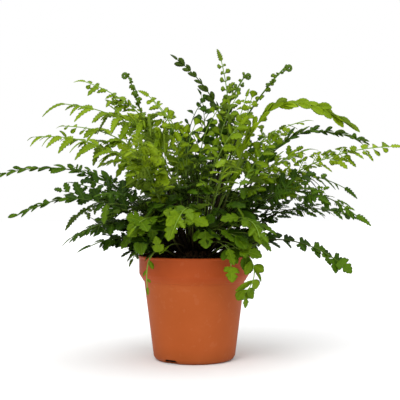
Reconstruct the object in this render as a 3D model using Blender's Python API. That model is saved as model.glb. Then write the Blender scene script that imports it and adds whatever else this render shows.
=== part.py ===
"""A bushy fern in a round nursery pot: pot, peat, rhizome crown and one solid for each frond.

Metres, +Z up. The origin is the centre of the pot's flat underside, and -Y is the plant's front.
Each frond is a stem with a thin, pointed plate for each of its pinnae.
"""

import math

import bmesh
import bpy
from mathutils import Quaternion, Vector
from mathutils.bvhtree import BVHTree

# Pot: a thin plastic tub with a wider collar
POT_HEIGHT = 0.111
RIM_RADIUS = 0.060
COLLAR_HEIGHT = 0.0265
COLLAR_DRAFT = 0.0008
COLLAR_STEP = 0.0054
COLLAR_CHAMFER = 0.007
BASE_RADIUS = 0.0440
BASE_CORNER = 0.006
WALL = 0.0012
FLOOR = 0.0015
LIP_WIDTH = 0.0022
LIP_HEIGHT = 0.0030
LIP_CHAMFER = 0.0006
POT_SIDES = 48
CORNER_STEPS = 3

# Drainage slots through the corner between wall and floor
SLOT_COUNT = 3
SLOT_WIDTH = 0.014
SLOT_HEIGHT = 0.0036
SLOT_DEPTH = 0.0065
SLOT_FIRST_ANGLE = -125.0

# Peat, and the rhizome crown that stands on it
FIT_GAP = 0.0003
SOIL_BELOW_RIM = 0.0080
SOIL_EDGE_FALL = 0.0010
SOIL_EDGE_WIDTH = 0.0040
CROWN_RADIUS = 0.0240
CROWN_SUNK = 0.0060
SOIL_SIDES = 32
CROWN_SIDES = 24
CROWN_RINGS = 5

# Plant: how far the longest frond reaches from the pot's axis, and how high the tallest stands
# over the rim
PLANT_RADIUS = 0.215
PLANT_RISE = 0.220

# Stems
STIPE_RADIUS = 0.0011
TIP_RADIUS = 0.0005
BASE_SPACING = 9.5
LOWEST_START = 24.0
STEEPEST_START = 84.0
STEM_GAP = 0.0010
COIL_RADIUS = 0.0042
COIL_TURNS = 1.35
COIL_SHRINK = 0.40
COIL_STEPS = 11
CURVE_STEPS = 24
STIPE_RINGS = 4

# Pinnae
LEAF_THICKNESS = 0.0008
LEAF_WIDTH_SHARE = 0.56
WIDEST_SHARE = 0.45
PINNA_ROOT_WIDTH = 0.0024
PINNA_NECK = 0.0016
PINNA_SPACE = 0.0040
PINNA_PITCH_SHARE = 0.60
PINNA_TAPER = 0.70
PINNA_ANGLE = 58.0
PINNA_DROOP = 0.15
END_PINNA_SHARE = 0.55
SHORTEST_END_PINNA = 0.012
YOUNG_TIP = 0.020
CLEARANCE = 0.0004

# One row for each frond: its middle and its tip, each as azimuth in degrees, reach in percent of
# PLANT_RADIUS and height over the rim in percent of PLANT_RISE, then its longest pinna in
# millimetres, the share of its length that is bare stipe, its roll in degrees, and its kind.
FRONDS = [
    ((180, 48, 38), (182, 100, 38), 28, 0.34, -35, "mature"),
    ((194, 47, 27), (190, 89, 18), 26, 0.36, -30, "mature"),
    ((164, 42, 50), (171, 90, 58), 26, 0.34, -30, "young"),
    ((221, 28, 55), (203, 74, 71), 32, 0.40, -20, "young"),
    ((152, 49, 60), (159, 81, 65), 26, 0.40, -35, "young"),
    ((164, 33, 73), (167, 63, 88), 20, 0.50, -40, "young"),
    ((186, 21, 51), (180, 35, 85), 20, 0.50, 0, "coiled"),
    ((115, 20, 61), (135, 40, 84), 20, 0.45, -30, "young"),
    ((238, 40, 40), (253, 75, 52), 34, 0.48, 0, "young"),
    ((48, 19, 71), (146, 16, 100), 18, 0.42, 70, "mature"),
    ((15, 18, 66), (338, 13, 99), 16, 0.42, -40, "young"),
    ((30, 19, 70), (27, 30, 87), 14, 0.50, 0, "coiled"),
    ((0, 30, 70), (354, 47, 88), 16, 0.50, 0, "coiled"),
    ((333, 58, 75), (335, 84, 62), 26, 0.44, 30, "young"),
    ((5, 62, 61), (3, 88, 54), 24, 0.40, 30, "mature"),
    ((357, 60, 45), (0, 104, 53), 24, 0.38, 45, "young"),
    ((336, 53, 31), (340, 86, 15), 28, 0.36, 25, "mature"),
    ((6, 48, 22), (6, 86, 16), 26, 0.36, 30, "mature"),
    ((22, 51, 39), (19, 90, 30), 26, 0.36, 25, "mature"),
    ((342, 46, 8), (343, 76, -5), 24, 0.40, 25, "mature"),
    ((315, 31, 4), (313, 42, -22), 16, 0.36, 30, "young"),
    ((180, 40, 15), (180, 66, 5), 20, 0.36, -30, "mature"),
    ((204, 40, 9), (202, 58, 3), 20, 0.38, -25, "mature"),
    ((205, 31, 3), (187, 51, 19), 22, 0.40, -20, "mature"),
    ((233, 31, 3), (238, 39, -18), 12, 0.50, 0, "young"),
    ((267, 37, 23), (262, 70, 11), 24, 0.44, 0, "young"),
    ((303, 41, 18), (294, 71, 8), 22, 0.42, 0, "young"),
    ((293, 30, 34), (284, 62, 47), 26, 0.42, 0, "young"),
    ((320, 33, 34), (303, 54, 43), 24, 0.42, 0, "mature"),
    ((51, 36, 66), (53, 49, 86), 20, 0.46, 20, "young"),
    ((26, 42, 59), (25, 70, 69), 22, 0.44, 25, "young"),
    ((342, 42, 44), (333, 66, 51), 26, 0.40, 25, "young"),
    ((223, 41, 29), (224, 63, 28), 28, 0.38, -10, "mature"),
    ((239, 38, 19), (241, 59, 11), 24, 0.40, 0, "young"),
    ((302, 31, 5), (295, 38, -8), 12, 0.48, 20, "young"),
    ((283, 24, 15), (280, 36, 7), 18, 0.40, 0, "mature"),
    ((322, 31, 27), (319, 46, 25), 22, 0.38, 0, "mature"),
    ((239, 27, 25), (240, 43, 20), 22, 0.38, 0, "mature"),
    ((272, 16, 41), (280, 32, 50), 24, 0.40, 0, "mature"),
    ((60, 35, 45), (60, 77, 35), 30, 0.36, 0, "mature"),
    ((78, 38, 30), (80, 84, 18), 30, 0.36, 0, "mature"),
    ((92, 36, 48), (98, 84, 38), 30, 0.36, 0, "young"),
    ((112, 40, 28), (115, 86, 20), 30, 0.36, 0, "mature"),
    ((128, 38, 45), (133, 81, 45), 30, 0.36, 0, "young"),
    ((142, 42, 25), (145, 86, 15), 30, 0.36, 0, "mature"),
    ((40, 42, 30), (40, 86, 25), 30, 0.36, 0, "mature"),
    ((90, 40, 10), (92, 62, -8), 24, 0.38, 0, "mature"),
    ((125, 38, 8), (125, 64, -10), 24, 0.38, 0, "mature"),
    ((50, 38, 8), (52, 66, 0), 24, 0.38, 0, "mature"),
    ((100, 15, 45), (105, 25, 62), 16, 0.48, 0, "coiled"),
    ((212, 44, 17), (210, 66, 8), 26, 0.36, -10, "mature"),
]

# What a stem or a pinna tries, in turn, to keep clear of those already there
SIDE_STEPS = (0, 3, -3, 6, -6, 9, -9, 12, -12, 16, -16)
FOLDS = (0, 16, -16, 32, -32, 50, -50)
LENGTH_TRIES = (1.0, 0.78, 0.58)

# The sides of a stem's three-cornered tube that its pinnae grow from
RIGHT_FACE = 1
LEFT_FACE = 2

COLLAR_BOTTOM = POT_HEIGHT - COLLAR_HEIGHT
WALL_TOP_RADIUS = RIM_RADIUS - COLLAR_DRAFT - COLLAR_STEP
SOIL_TOP = POT_HEIGHT - SOIL_BELOW_RIM
CROWN_CENTRE = Vector((0, 0, SOIL_TOP - CROWN_SUNK))


def clear_scene():
    for obj in list(bpy.data.objects):
        bpy.data.objects.remove(obj, do_unlink=True)


def material(name, colour, roughness):
    made = bpy.data.materials.new(name)
    made.use_nodes = True
    shader = made.node_tree.nodes["Principled BSDF"]
    shader.inputs["Base Color"].default_value = (*colour, 1.0)
    shader.inputs["Roughness"].default_value = roughness
    shader.inputs["Metallic"].default_value = 0.0
    return made


def add_object(name, built, finish):
    """Turns a bmesh into a named object with the given material."""
    bmesh.ops.recalc_face_normals(built, faces=built.faces)
    mesh = bpy.data.meshes.new(name)
    built.to_mesh(mesh)
    built.free()
    mesh.materials.append(finish)
    obj = bpy.data.objects.new(name, mesh)
    bpy.context.scene.collection.objects.link(obj)
    return obj


def turned(name, profile, sides, finish):
    """A closed solid of revolution about Z. The profile starts and ends on the axis."""
    built = bmesh.new()
    points = [built.verts.new((radius, 0, height)) for radius, height in profile]
    edges = [built.edges.new(pair) for pair in zip(points, points[1:])]
    bmesh.ops.spin(
        built,
        geom=points + edges,
        axis=(0, 0, 1),
        cent=(0, 0, 0),
        angle=2 * math.pi,
        steps=sides,
    )
    bmesh.ops.remove_doubles(built, verts=built.verts, dist=1e-6)
    obj = add_object(name, built, finish)
    obj.data.shade_smooth()
    obj.data.set_sharp_from_angle(angle=math.radians(35))
    return obj


def arc(centre, radius, start, end, steps):
    """Points on an arc in the radius-height plane, from start to end in degrees."""
    angles = [math.radians(start + (end - start) * k / steps) for k in range(steps + 1)]
    return [(centre[0] + radius * math.cos(a), centre[1] + radius * math.sin(a)) for a in angles]


def wall_radius(height):
    """Outer radius of the tapered wall below the collar."""
    share = (height - BASE_CORNER) / (COLLAR_BOTTOM - BASE_CORNER)
    return BASE_RADIUS + (WALL_TOP_RADIUS - BASE_RADIUS) * share


def collar_radius(height):
    """Outer radius of the collar."""
    bottom = COLLAR_BOTTOM + COLLAR_CHAMFER
    share = (height - bottom) / (POT_HEIGHT - bottom)
    return RIM_RADIUS - COLLAR_DRAFT * (1 - share)


def inner_profile(inset):
    """The tub's inner face moved inwards by inset, from its floor up to the collar's chamfer."""
    corner = BASE_CORNER - WALL
    foot = BASE_RADIUS - WALL
    chamfer_top = COLLAR_BOTTOM + COLLAR_CHAMFER
    profile = arc((foot - corner, FLOOR + corner), corner - inset, -90, 0, CORNER_STEPS)
    profile.append((wall_radius(COLLAR_BOTTOM) - WALL - inset, COLLAR_BOTTOM))
    profile.append((collar_radius(chamfer_top) - WALL - inset, chamfer_top))
    return profile


def make_pot(finish):
    chamfer_top = COLLAR_BOTTOM + COLLAR_CHAMFER
    lip_bottom = POT_HEIGHT - LIP_HEIGHT
    profile = [(0, 0)]
    profile += arc((BASE_RADIUS - BASE_CORNER, BASE_CORNER), BASE_CORNER, -90, 0, CORNER_STEPS)
    profile += [
        (WALL_TOP_RADIUS, COLLAR_BOTTOM),
        (collar_radius(chamfer_top), chamfer_top),
        (RIM_RADIUS, POT_HEIGHT - LIP_CHAMFER),
        (RIM_RADIUS - LIP_CHAMFER, POT_HEIGHT),
        (RIM_RADIUS - LIP_WIDTH, POT_HEIGHT),
        (RIM_RADIUS - LIP_WIDTH, lip_bottom),
        (RIM_RADIUS - WALL, lip_bottom - (LIP_WIDTH - WALL)),
    ]
    profile += reversed(inner_profile(0))
    profile.append((0, FLOOR))
    pot = turned("nursery_pot", profile, POT_SIDES, finish)
    for k in range(SLOT_COUNT):
        angle = math.radians(SLOT_FIRST_ANGLE + 360 * k / SLOT_COUNT)
        built = bmesh.new()
        bmesh.ops.create_cube(built, size=1)
        cutter = add_object(f"slot_cutter_{k + 1}", built, finish)
        cutter.scale = (2 * SLOT_DEPTH, SLOT_WIDTH, 2 * SLOT_HEIGHT)
        cutter.rotation_euler = (0, 0, angle)
        cutter.location = (BASE_RADIUS * math.cos(angle), BASE_RADIUS * math.sin(angle), 0)
        cutter.hide_render = True
        cutter.display_type = "WIRE"
        cut = pot.modifiers.new(f"slot_{k + 1}", "BOOLEAN")
        cut.operation = "DIFFERENCE"
        cut.object = cutter
    return pot


def make_soil(finish):
    edge = collar_radius(SOIL_TOP) - WALL - FIT_GAP
    profile = [(0, FLOOR + FIT_GAP)] + inner_profile(FIT_GAP)
    profile += [(edge, SOIL_TOP - SOIL_EDGE_FALL), (edge - SOIL_EDGE_WIDTH, SOIL_TOP), (0, SOIL_TOP)]
    return turned("potting_soil", profile, SOIL_SIDES, finish)


def make_crown(finish):
    lowest = math.degrees(math.asin((CROWN_SUNK + FIT_GAP) / CROWN_RADIUS))
    dome = arc((0, CROWN_CENTRE.z), CROWN_RADIUS, lowest, 90, CROWN_RINGS)[:-1]
    top = (0, CROWN_CENTRE.z + CROWN_RADIUS)
    profile = [(0, SOIL_TOP + FIT_GAP), *dome, top]
    return turned("rhizome_crown", profile, CROWN_SIDES, finish)


def place(azimuth, reach, height):
    """A row's azimuth, reach and height as a point."""
    angle = math.radians(azimuth)
    distance = reach / 100 * PLANT_RADIUS
    return Vector((
        distance * math.cos(angle),
        distance * math.sin(angle),
        POT_HEIGHT + height / 100 * PLANT_RISE,
    ))


def limit_elevation(direction):
    """The direction, no lower and no steeper than a stem may leave the crown."""
    elevation = math.degrees(math.atan2(direction.z, math.hypot(direction.x, direction.y)))
    elevation = math.radians(min(max(elevation, LOWEST_START), STEEPEST_START))
    flat = Vector((direction.x, direction.y, 0)).normalized()
    return flat * math.cos(elevation) + Vector((0, 0, math.sin(elevation)))


def start_directions(rows):
    """The way each stem leaves the crown: towards its frond's middle, then pushed apart."""
    found = [limit_elevation(place(*row[0]) - CROWN_CENTRE) for row in rows]
    least = math.radians(BASE_SPACING)
    for _ in range(300):
        crowded = False
        for i in range(len(found)):
            for j in range(i + 1, len(found)):
                angle = found[i].angle(found[j])
                if angle >= least:
                    continue
                crowded = True
                axis = found[i].cross(found[j])
                half = (least - angle) / 2 + 1e-4
                found[i] = limit_elevation(Quaternion(axis, -half) @ found[i])
                found[j] = limit_elevation(Quaternion(axis, half) @ found[j])
        if not crowded:
            break
    return found


def bent(start, end, leave, arrive):
    """Points on a cubic from start to end, with its velocity at each end."""
    found = []
    for k in range(CURVE_STEPS + 1):
        t = k / CURVE_STEPS
        found.append(
            start * (2 * t**3 - 3 * t**2 + 1)
            + leave * (t**3 - 2 * t**2 + t)
            + end * (3 * t**2 - 2 * t**3)
            + arrive * (t**3 - t**2)
        )
    return found


def tube_offsets(side, normal, radius):
    """A stem's section: left shoulder, right shoulder and keel."""
    return [
        side * radius + normal * radius * 0.6,
        -side * radius + normal * radius * 0.6,
        -normal * radius,
    ]


class Stem:
    """A frond's stem: it leaves the crown squarely, passes its middle and ends at its tip."""

    def __init__(self, row, start, shift):
        middle, tip, pinna, bare, roll, kind = row
        self.tip = place(*tip)
        passed = place(*middle) + Vector((0, 0, 1)).cross(start).normalized() * shift
        base = CROWN_CENTRE + start * (CROWN_RADIUS + FIT_GAP)
        near, far = passed - base, self.tip - passed
        bend = (near.normalized() * far.length + far.normalized() * near.length).normalized()
        self.points = bent(base, passed, start * near.length, bend * near.length)
        self.points += bent(passed, self.tip, bend * far.length, 2 * far - bend * far.length)[1:]
        self.lengths = [0.0]
        for a, b in zip(self.points, self.points[1:]):
            self.lengths.append(self.lengths[-1] + (b - a).length)
        self.length = self.lengths[-1]
        self.kind = kind
        self.pinna = pinna / 1000
        self.blade_start = self.length * bare
        self.end_pinna = max(END_PINNA_SHARE * self.pinna, SHORTEST_END_PINNA)
        self.tube_end = self.length if kind == "coiled" else self.length - self.end_pinna
        self.blade_end = self.tube_end - (YOUNG_TIP if kind == "coiled" else PINNA_SPACE)
        azimuth = math.radians(tip[0])
        self.side = Vector((-math.sin(azimuth), math.cos(azimuth), 0))
        self.roll = math.radians(roll)

    def at(self, distance):
        """The point that far along the stem."""
        distance = min(max(distance, 0.0), self.length)
        k = 1
        while k < len(self.points) - 1 and self.lengths[k] < distance:
            k += 1
        span = self.lengths[k] - self.lengths[k - 1]
        return self.points[k - 1].lerp(self.points[k], (distance - self.lengths[k - 1]) / span)

    def frame(self, distance):
        """Tangent, left axis and upper normal of the blade there."""
        step = self.length / CURVE_STEPS / 2
        tangent = (self.at(distance + step) - self.at(distance - step)).normalized()
        side = (self.side - tangent * self.side.dot(tangent)).normalized()
        side = Quaternion(tangent, self.roll) @ side
        return tangent, side, tangent.cross(side)

    def radius(self, distance):
        return STIPE_RADIUS + (TIP_RADIUS - STIPE_RADIUS) * distance / self.length

    def section(self, distance, clearance=0.0):
        """The three corners of the stem's tube there, grown by the clearance."""
        tangent, side, normal = self.frame(distance)
        offsets = tube_offsets(side, normal, self.radius(distance) + 2 * clearance)
        return [self.at(distance) + offset for offset in offsets]

    def coil_sections(self, clearance=0.0):
        """The tube's corners round a young stem's fiddlehead: a flat spiral, down and back."""
        if self.kind != "coiled":
            return []
        tangent, side, normal = self.frame(self.length)
        inwards = normal if normal.z < 0 else -normal
        centre = self.tip + inwards * COIL_RADIUS
        found = []
        for k in range(1, COIL_STEPS + 1):
            turn = 2 * math.pi * COIL_TURNS * k / COIL_STEPS
            radius = COIL_RADIUS * (1 - (1 - COIL_SHRINK) * k / COIL_STEPS)
            point = centre + (tangent * math.sin(turn) - inwards * math.cos(turn)) * radius
            onwards = inwards * math.sin(turn) + tangent * math.cos(turn)
            offsets = tube_offsets(side, onwards.cross(side), TIP_RADIUS + 2 * clearance)
            found.append([point + offset for offset in offsets])
        return found

    def pinna_places(self):
        """Where pairs of pinnae leave the stem, from the base outwards: (distance, length)."""
        found, distance = [], self.blade_start
        while distance < self.blade_end:
            share = (distance - self.blade_start) / (self.tube_end - self.blade_start)
            length = self.pinna * (1 - PINNA_TAPER * share**1.3)
            found.append((distance, length))
            distance += length * PINNA_PITCH_SHARE + PINNA_SPACE
        return found

    def obstacle(self, clearance):
        """The whole stem as a tube grown by the clearance, for overlap tests."""
        places = [min(length, self.tube_end) for length in self.lengths[1:]]
        sections = [self.section(distance, clearance) for distance in places]
        sections += self.coil_sections(clearance)
        faces = []
        for first in range(0, 3 * len(sections) - 3, 3):
            for k in range(3):
                a, b = first + k, first + (k + 1) % 3
                faces.append((a, b, b + 3, a + 3))
        return Obstacle(sum(sections, []), faces)


class Pinna:
    """A thin plate that widens from its root on the stem, then narrows to its tip.

    side is 1 on the stem's left, -1 on its right and 0 for the one at the stem's end.
    """

    def __init__(self, stem, distance, side, length, fold):
        tangent, left, normal = stem.frame(distance)
        along = tangent
        if side:
            lean = math.radians(PINNA_ANGLE)
            folded = Quaternion(tangent, side * math.radians(fold))
            left, normal = folded @ left, folded @ normal
            along = tangent * math.cos(lean) + left * side * math.sin(lean)
        self.distance = distance
        self.side = side
        self.length = length
        self.normal = normal
        self.across = normal.cross(along).normalized()
        self.root = stem.at(distance) + left * side * stem.radius(distance)
        self.middle = self.root + along * length * WIDEST_SHARE
        outer = (along - Vector((0, 0, PINNA_DROOP))).normalized()
        self.tip = self.middle + outer * length * (1 - WIDEST_SHARE)

    def ring(self, centre, width, thickness):
        """The plate's four corners about a point, in order round its edge."""
        wide, thick = self.across * width / 2, self.normal * thickness / 2
        return [centre - wide - thick, centre + wide - thick, centre + wide + thick, centre - wide + thick]

    def widest(self, clearance=0.0):
        width = self.length * LEAF_WIDTH_SHARE + 2 * clearance
        return self.ring(self.middle, width, LEAF_THICKNESS + 2 * clearance)

    def obstacle(self):
        """The plate past its neck, grown by the clearance, for overlap tests."""
        neck = self.root + (self.middle - self.root).normalized() * PINNA_NECK
        corners = self.ring(neck, PINNA_ROOT_WIDTH, LEAF_THICKNESS + 2 * CLEARANCE)
        corners += self.widest(CLEARANCE)
        corners.append(self.tip + (self.tip - self.middle).normalized() * CLEARANCE)
        faces = [(0, 3, 2, 1)]
        faces += [(k, (k + 1) % 4, 4 + (k + 1) % 4, 4 + k) for k in range(4)]
        faces += [(4 + k, 4 + (k + 1) % 4, 8) for k in range(4)]
        return Obstacle(corners, faces)


class Obstacle:
    """Faces with their bounding box, for overlap tests."""

    def __init__(self, corners, faces):
        self.low = [min(corner[k] for corner in corners) for k in range(3)]
        self.high = [max(corner[k] for corner in corners) for k in range(3)]
        self.tree = BVHTree.FromPolygons(corners, faces)

    def meets(self, other):
        for k in range(3):
            if self.low[k] > other.high[k] or other.low[k] > self.high[k]:
                return False
        return bool(self.tree.overlap(other.tree))


def object_obstacle(obj):
    corners = [vertex.co for vertex in obj.data.vertices]
    return Obstacle(corners, [tuple(face.vertices) for face in obj.data.polygons])


def lay_stems(rows):
    """A stem for each row, its middle moved sideways where it would meet one laid before it."""
    laid, tubes = [], []
    for row, start in zip(rows, start_directions(rows)):
        tried = []
        for step in SIDE_STEPS:
            stem = Stem(row, start, step / 1000)
            tube = stem.obstacle(STEM_GAP / 2)
            met = sum(tube.meets(other) for other in tubes)
            tried.append((met, stem, tube))
            if not met:
                break
        _, stem, tube = min(tried, key=lambda entry: entry[0])
        laid.append(stem)
        tubes.append(tube)
    return laid


def clear_pinna(stem, distance, side, length, taken):
    """The first pinna to be clear of everything taken, as it folds and shortens, or None."""
    for share in LENGTH_TRIES:
        for fold in FOLDS:
            pinna = Pinna(stem, distance, side, length * share, fold)
            grown = pinna.obstacle()
            if not any(grown.meets(other) for other in taken):
                taken.append(grown)
                return pinna
    return None


def grow_pinnae(stems, fixed):
    """A list of pinnae for each stem, every pinna clear of the pot, the stems and one another."""
    taken = fixed + [stem.obstacle(CLEARANCE) for stem in stems]
    grown = []
    for stem in stems:
        pinnae = []
        if stem.kind != "coiled":
            pinnae.append(Pinna(stem, stem.tube_end + CLEARANCE, 0, stem.end_pinna, 0))
            taken.append(pinnae[0].obstacle())
        grown.append(pinnae)
    for stem, pinnae in zip(stems, grown):
        for distance, length in reversed(stem.pinna_places()):
            for side in (1, -1):
                pinna = clear_pinna(stem, distance, side, length, taken)
                if pinna:
                    pinnae.append(pinna)
    return grown


def tube_places(stem, pinnae):
    """Where the stem's tube has a section, each with the pinnae that root before the next one."""
    half = PINNA_ROOT_WIDTH / 2
    found = [((stem.blade_start - 2 * half) * k / STIPE_RINGS, []) for k in range(STIPE_RINGS)]
    for distance in sorted({pinna.distance for pinna in pinnae if pinna.side}):
        here = [pinna for pinna in pinnae if pinna.side and pinna.distance == distance]
        found += [(distance - half, here), (distance + half, [])]
    return found + [(stem.tube_end, [])]


def make_frond(name, stem, pinnae, finish):
    """The stem as a tube, with each pinna extruded from the side of the tube that it grows on."""
    built = bmesh.new()
    places = tube_places(stem, pinnae)
    sections = [stem.section(distance) for distance, _ in places] + stem.coil_sections()
    rings = [[built.verts.new(corner) for corner in section] for section in sections]
    sides = []
    for low, high in zip(rings, rings[1:]):
        sides.append([built.faces.new([low[k], low[k - 2], high[k - 2], high[k]]) for k in range(3)])
    built.faces.new(rings[0])
    end = built.faces.new(rings[-1])
    for faces, (_, here) in zip(sides, places):
        for pinna in here:
            extrude_pinna(built, faces[LEFT_FACE if pinna.side > 0 else RIGHT_FACE], pinna)
    for pinna in pinnae:
        if not pinna.side:
            extrude_pinna(built, end, pinna)
    return add_object(name, built, finish)


def extrude_pinna(built, face, pinna):
    """Extrudes a face of the stem to the pinna's widest place and pokes it out to the tip."""
    outer = bmesh.ops.extrude_discrete_faces(built, faces=[face])["faces"][0]
    corners = list(outer.verts)
    for vertex, target in zip(corners, matched(corners, pinna.widest())):
        vertex.co = target
    tip = bmesh.ops.poke(built, faces=[outer])["verts"][0]
    tip.co = pinna.tip


def matched(corners, targets):
    """The targets in the order round the face that moves its corners least."""
    orders = []
    for start in range(len(targets)):
        for step in (1, -1):
            order = [targets[(start + step * k) % len(targets)] for k in range(len(corners))]
            travel = sum((vertex.co - target).length for vertex, target in zip(corners, order))
            orders.append((travel, order))
    return min(orders, key=lambda entry: entry[0])[1]


def main():
    clear_scene()
    plastic = material("terracotta_plastic", (0.50, 0.16, 0.065), 0.5)
    peat = material("peat", (0.030, 0.020, 0.012), 0.95)
    fibre = material("rhizome_fibre", (0.085, 0.050, 0.025), 0.9)
    leaves = {
        "mature": material("mature_leaf", (0.045, 0.15, 0.022), 0.45),
        "young": material("young_leaf", (0.16, 0.32, 0.035), 0.5),
        "coiled": material("fiddlehead_skin", (0.10, 0.13, 0.035), 0.6),
    }
    fixed = [make_pot(plastic), make_soil(peat), make_crown(fibre)]
    stems = lay_stems(FRONDS)
    grown = grow_pinnae(stems, [object_obstacle(obj) for obj in fixed])
    counts = {"frond": 0, "fiddlehead": 0}
    for stem, pinnae in zip(stems, grown):
        word = "fiddlehead" if stem.kind == "coiled" else "frond"
        counts[word] += 1
        make_frond(f"{word}_{counts[word]:02d}", stem, pinnae, leaves[stem.kind])


main()
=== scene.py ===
"""The looks of the potted fern: leafy fronds, peat, crown and pot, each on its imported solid."""

import itertools
import math
import random

import bmesh
import bpy
import numpy as np
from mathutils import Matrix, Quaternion, Vector, noise
from mathutils.bvhtree import BVHTree


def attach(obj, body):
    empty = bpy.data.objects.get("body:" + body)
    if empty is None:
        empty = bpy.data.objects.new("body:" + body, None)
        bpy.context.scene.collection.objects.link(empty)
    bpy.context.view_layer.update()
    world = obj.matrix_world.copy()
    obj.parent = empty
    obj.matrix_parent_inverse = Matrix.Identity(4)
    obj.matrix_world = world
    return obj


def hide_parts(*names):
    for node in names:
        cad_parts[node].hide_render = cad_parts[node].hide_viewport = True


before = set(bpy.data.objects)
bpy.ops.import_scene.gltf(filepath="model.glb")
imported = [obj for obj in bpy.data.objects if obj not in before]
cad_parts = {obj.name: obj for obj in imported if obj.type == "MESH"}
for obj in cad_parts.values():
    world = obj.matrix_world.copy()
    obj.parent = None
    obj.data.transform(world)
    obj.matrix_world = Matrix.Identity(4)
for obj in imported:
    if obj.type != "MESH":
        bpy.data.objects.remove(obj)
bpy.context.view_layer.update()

# Pot
POT_HEIGHT = 0.111
RIM_RADIUS = 0.060
COLLAR_HEIGHT = 0.0265
COLLAR_DRAFT = 0.0008
COLLAR_STEP = 0.0054
COLLAR_CHAMFER = 0.007
BASE_RADIUS = 0.0440
BASE_CORNER = 0.006
WALL = 0.0012
FLOOR = 0.0015
LIP_WIDTH = 0.0022
LIP_HEIGHT = 0.0030
CORNER_STEPS = 8
SLOT_COUNT = 3
SLOT_WIDTH = 0.014
SLOT_HEIGHT = 0.0036
SLOT_DEPTH = 0.0065
SLOT_FIRST_ANGLE = -125.0

# Peat and crown
FIT_GAP = 0.0003
SOIL_BELOW_RIM = 0.0080
CROWN_RADIUS = 0.0240
CROWN_SUNK = 0.0060
MOUND = 0.008
MOUND_RADIUS = 0.052
CRUMB_COUNT = 260
CRUMB_LIMIT = 0.0570
SCALE_COUNT = 650

# Plant
PLANT_RADIUS = 0.215
PLANT_RISE = 0.220
STIPE_RADIUS = 0.0011
TIP_RADIUS = 0.0005
BASE_SPACING = 9.5
MOST_PUSHES = 300
LOWEST_START = 24.0
STEEPEST_START = 84.0
STEM_GAP = 0.0010
COIL_RADIUS = 0.0042
COIL_TURNS = 1.35
COIL_SHRINK = 0.40
COIL_STEPS = 11
CURVE_STEPS = 24
LEAF_THICKNESS = 0.0008
LEAF_WIDTH_SHARE = 0.56
WIDEST_SHARE = 0.45
PINNA_ROOT_WIDTH = 0.0024
PINNA_NECK = 0.0016
PINNA_SPACE = 0.0040
PINNA_PITCH_SHARE = 0.60
PINNA_TAPER = 0.70
PINNA_ANGLE = 58.0
PINNA_DROOP = 0.15
END_PINNA_SHARE = 0.55
SHORTEST_END_PINNA = 0.012
YOUNG_TIP = 0.020
CLEARANCE = 0.0004

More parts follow.
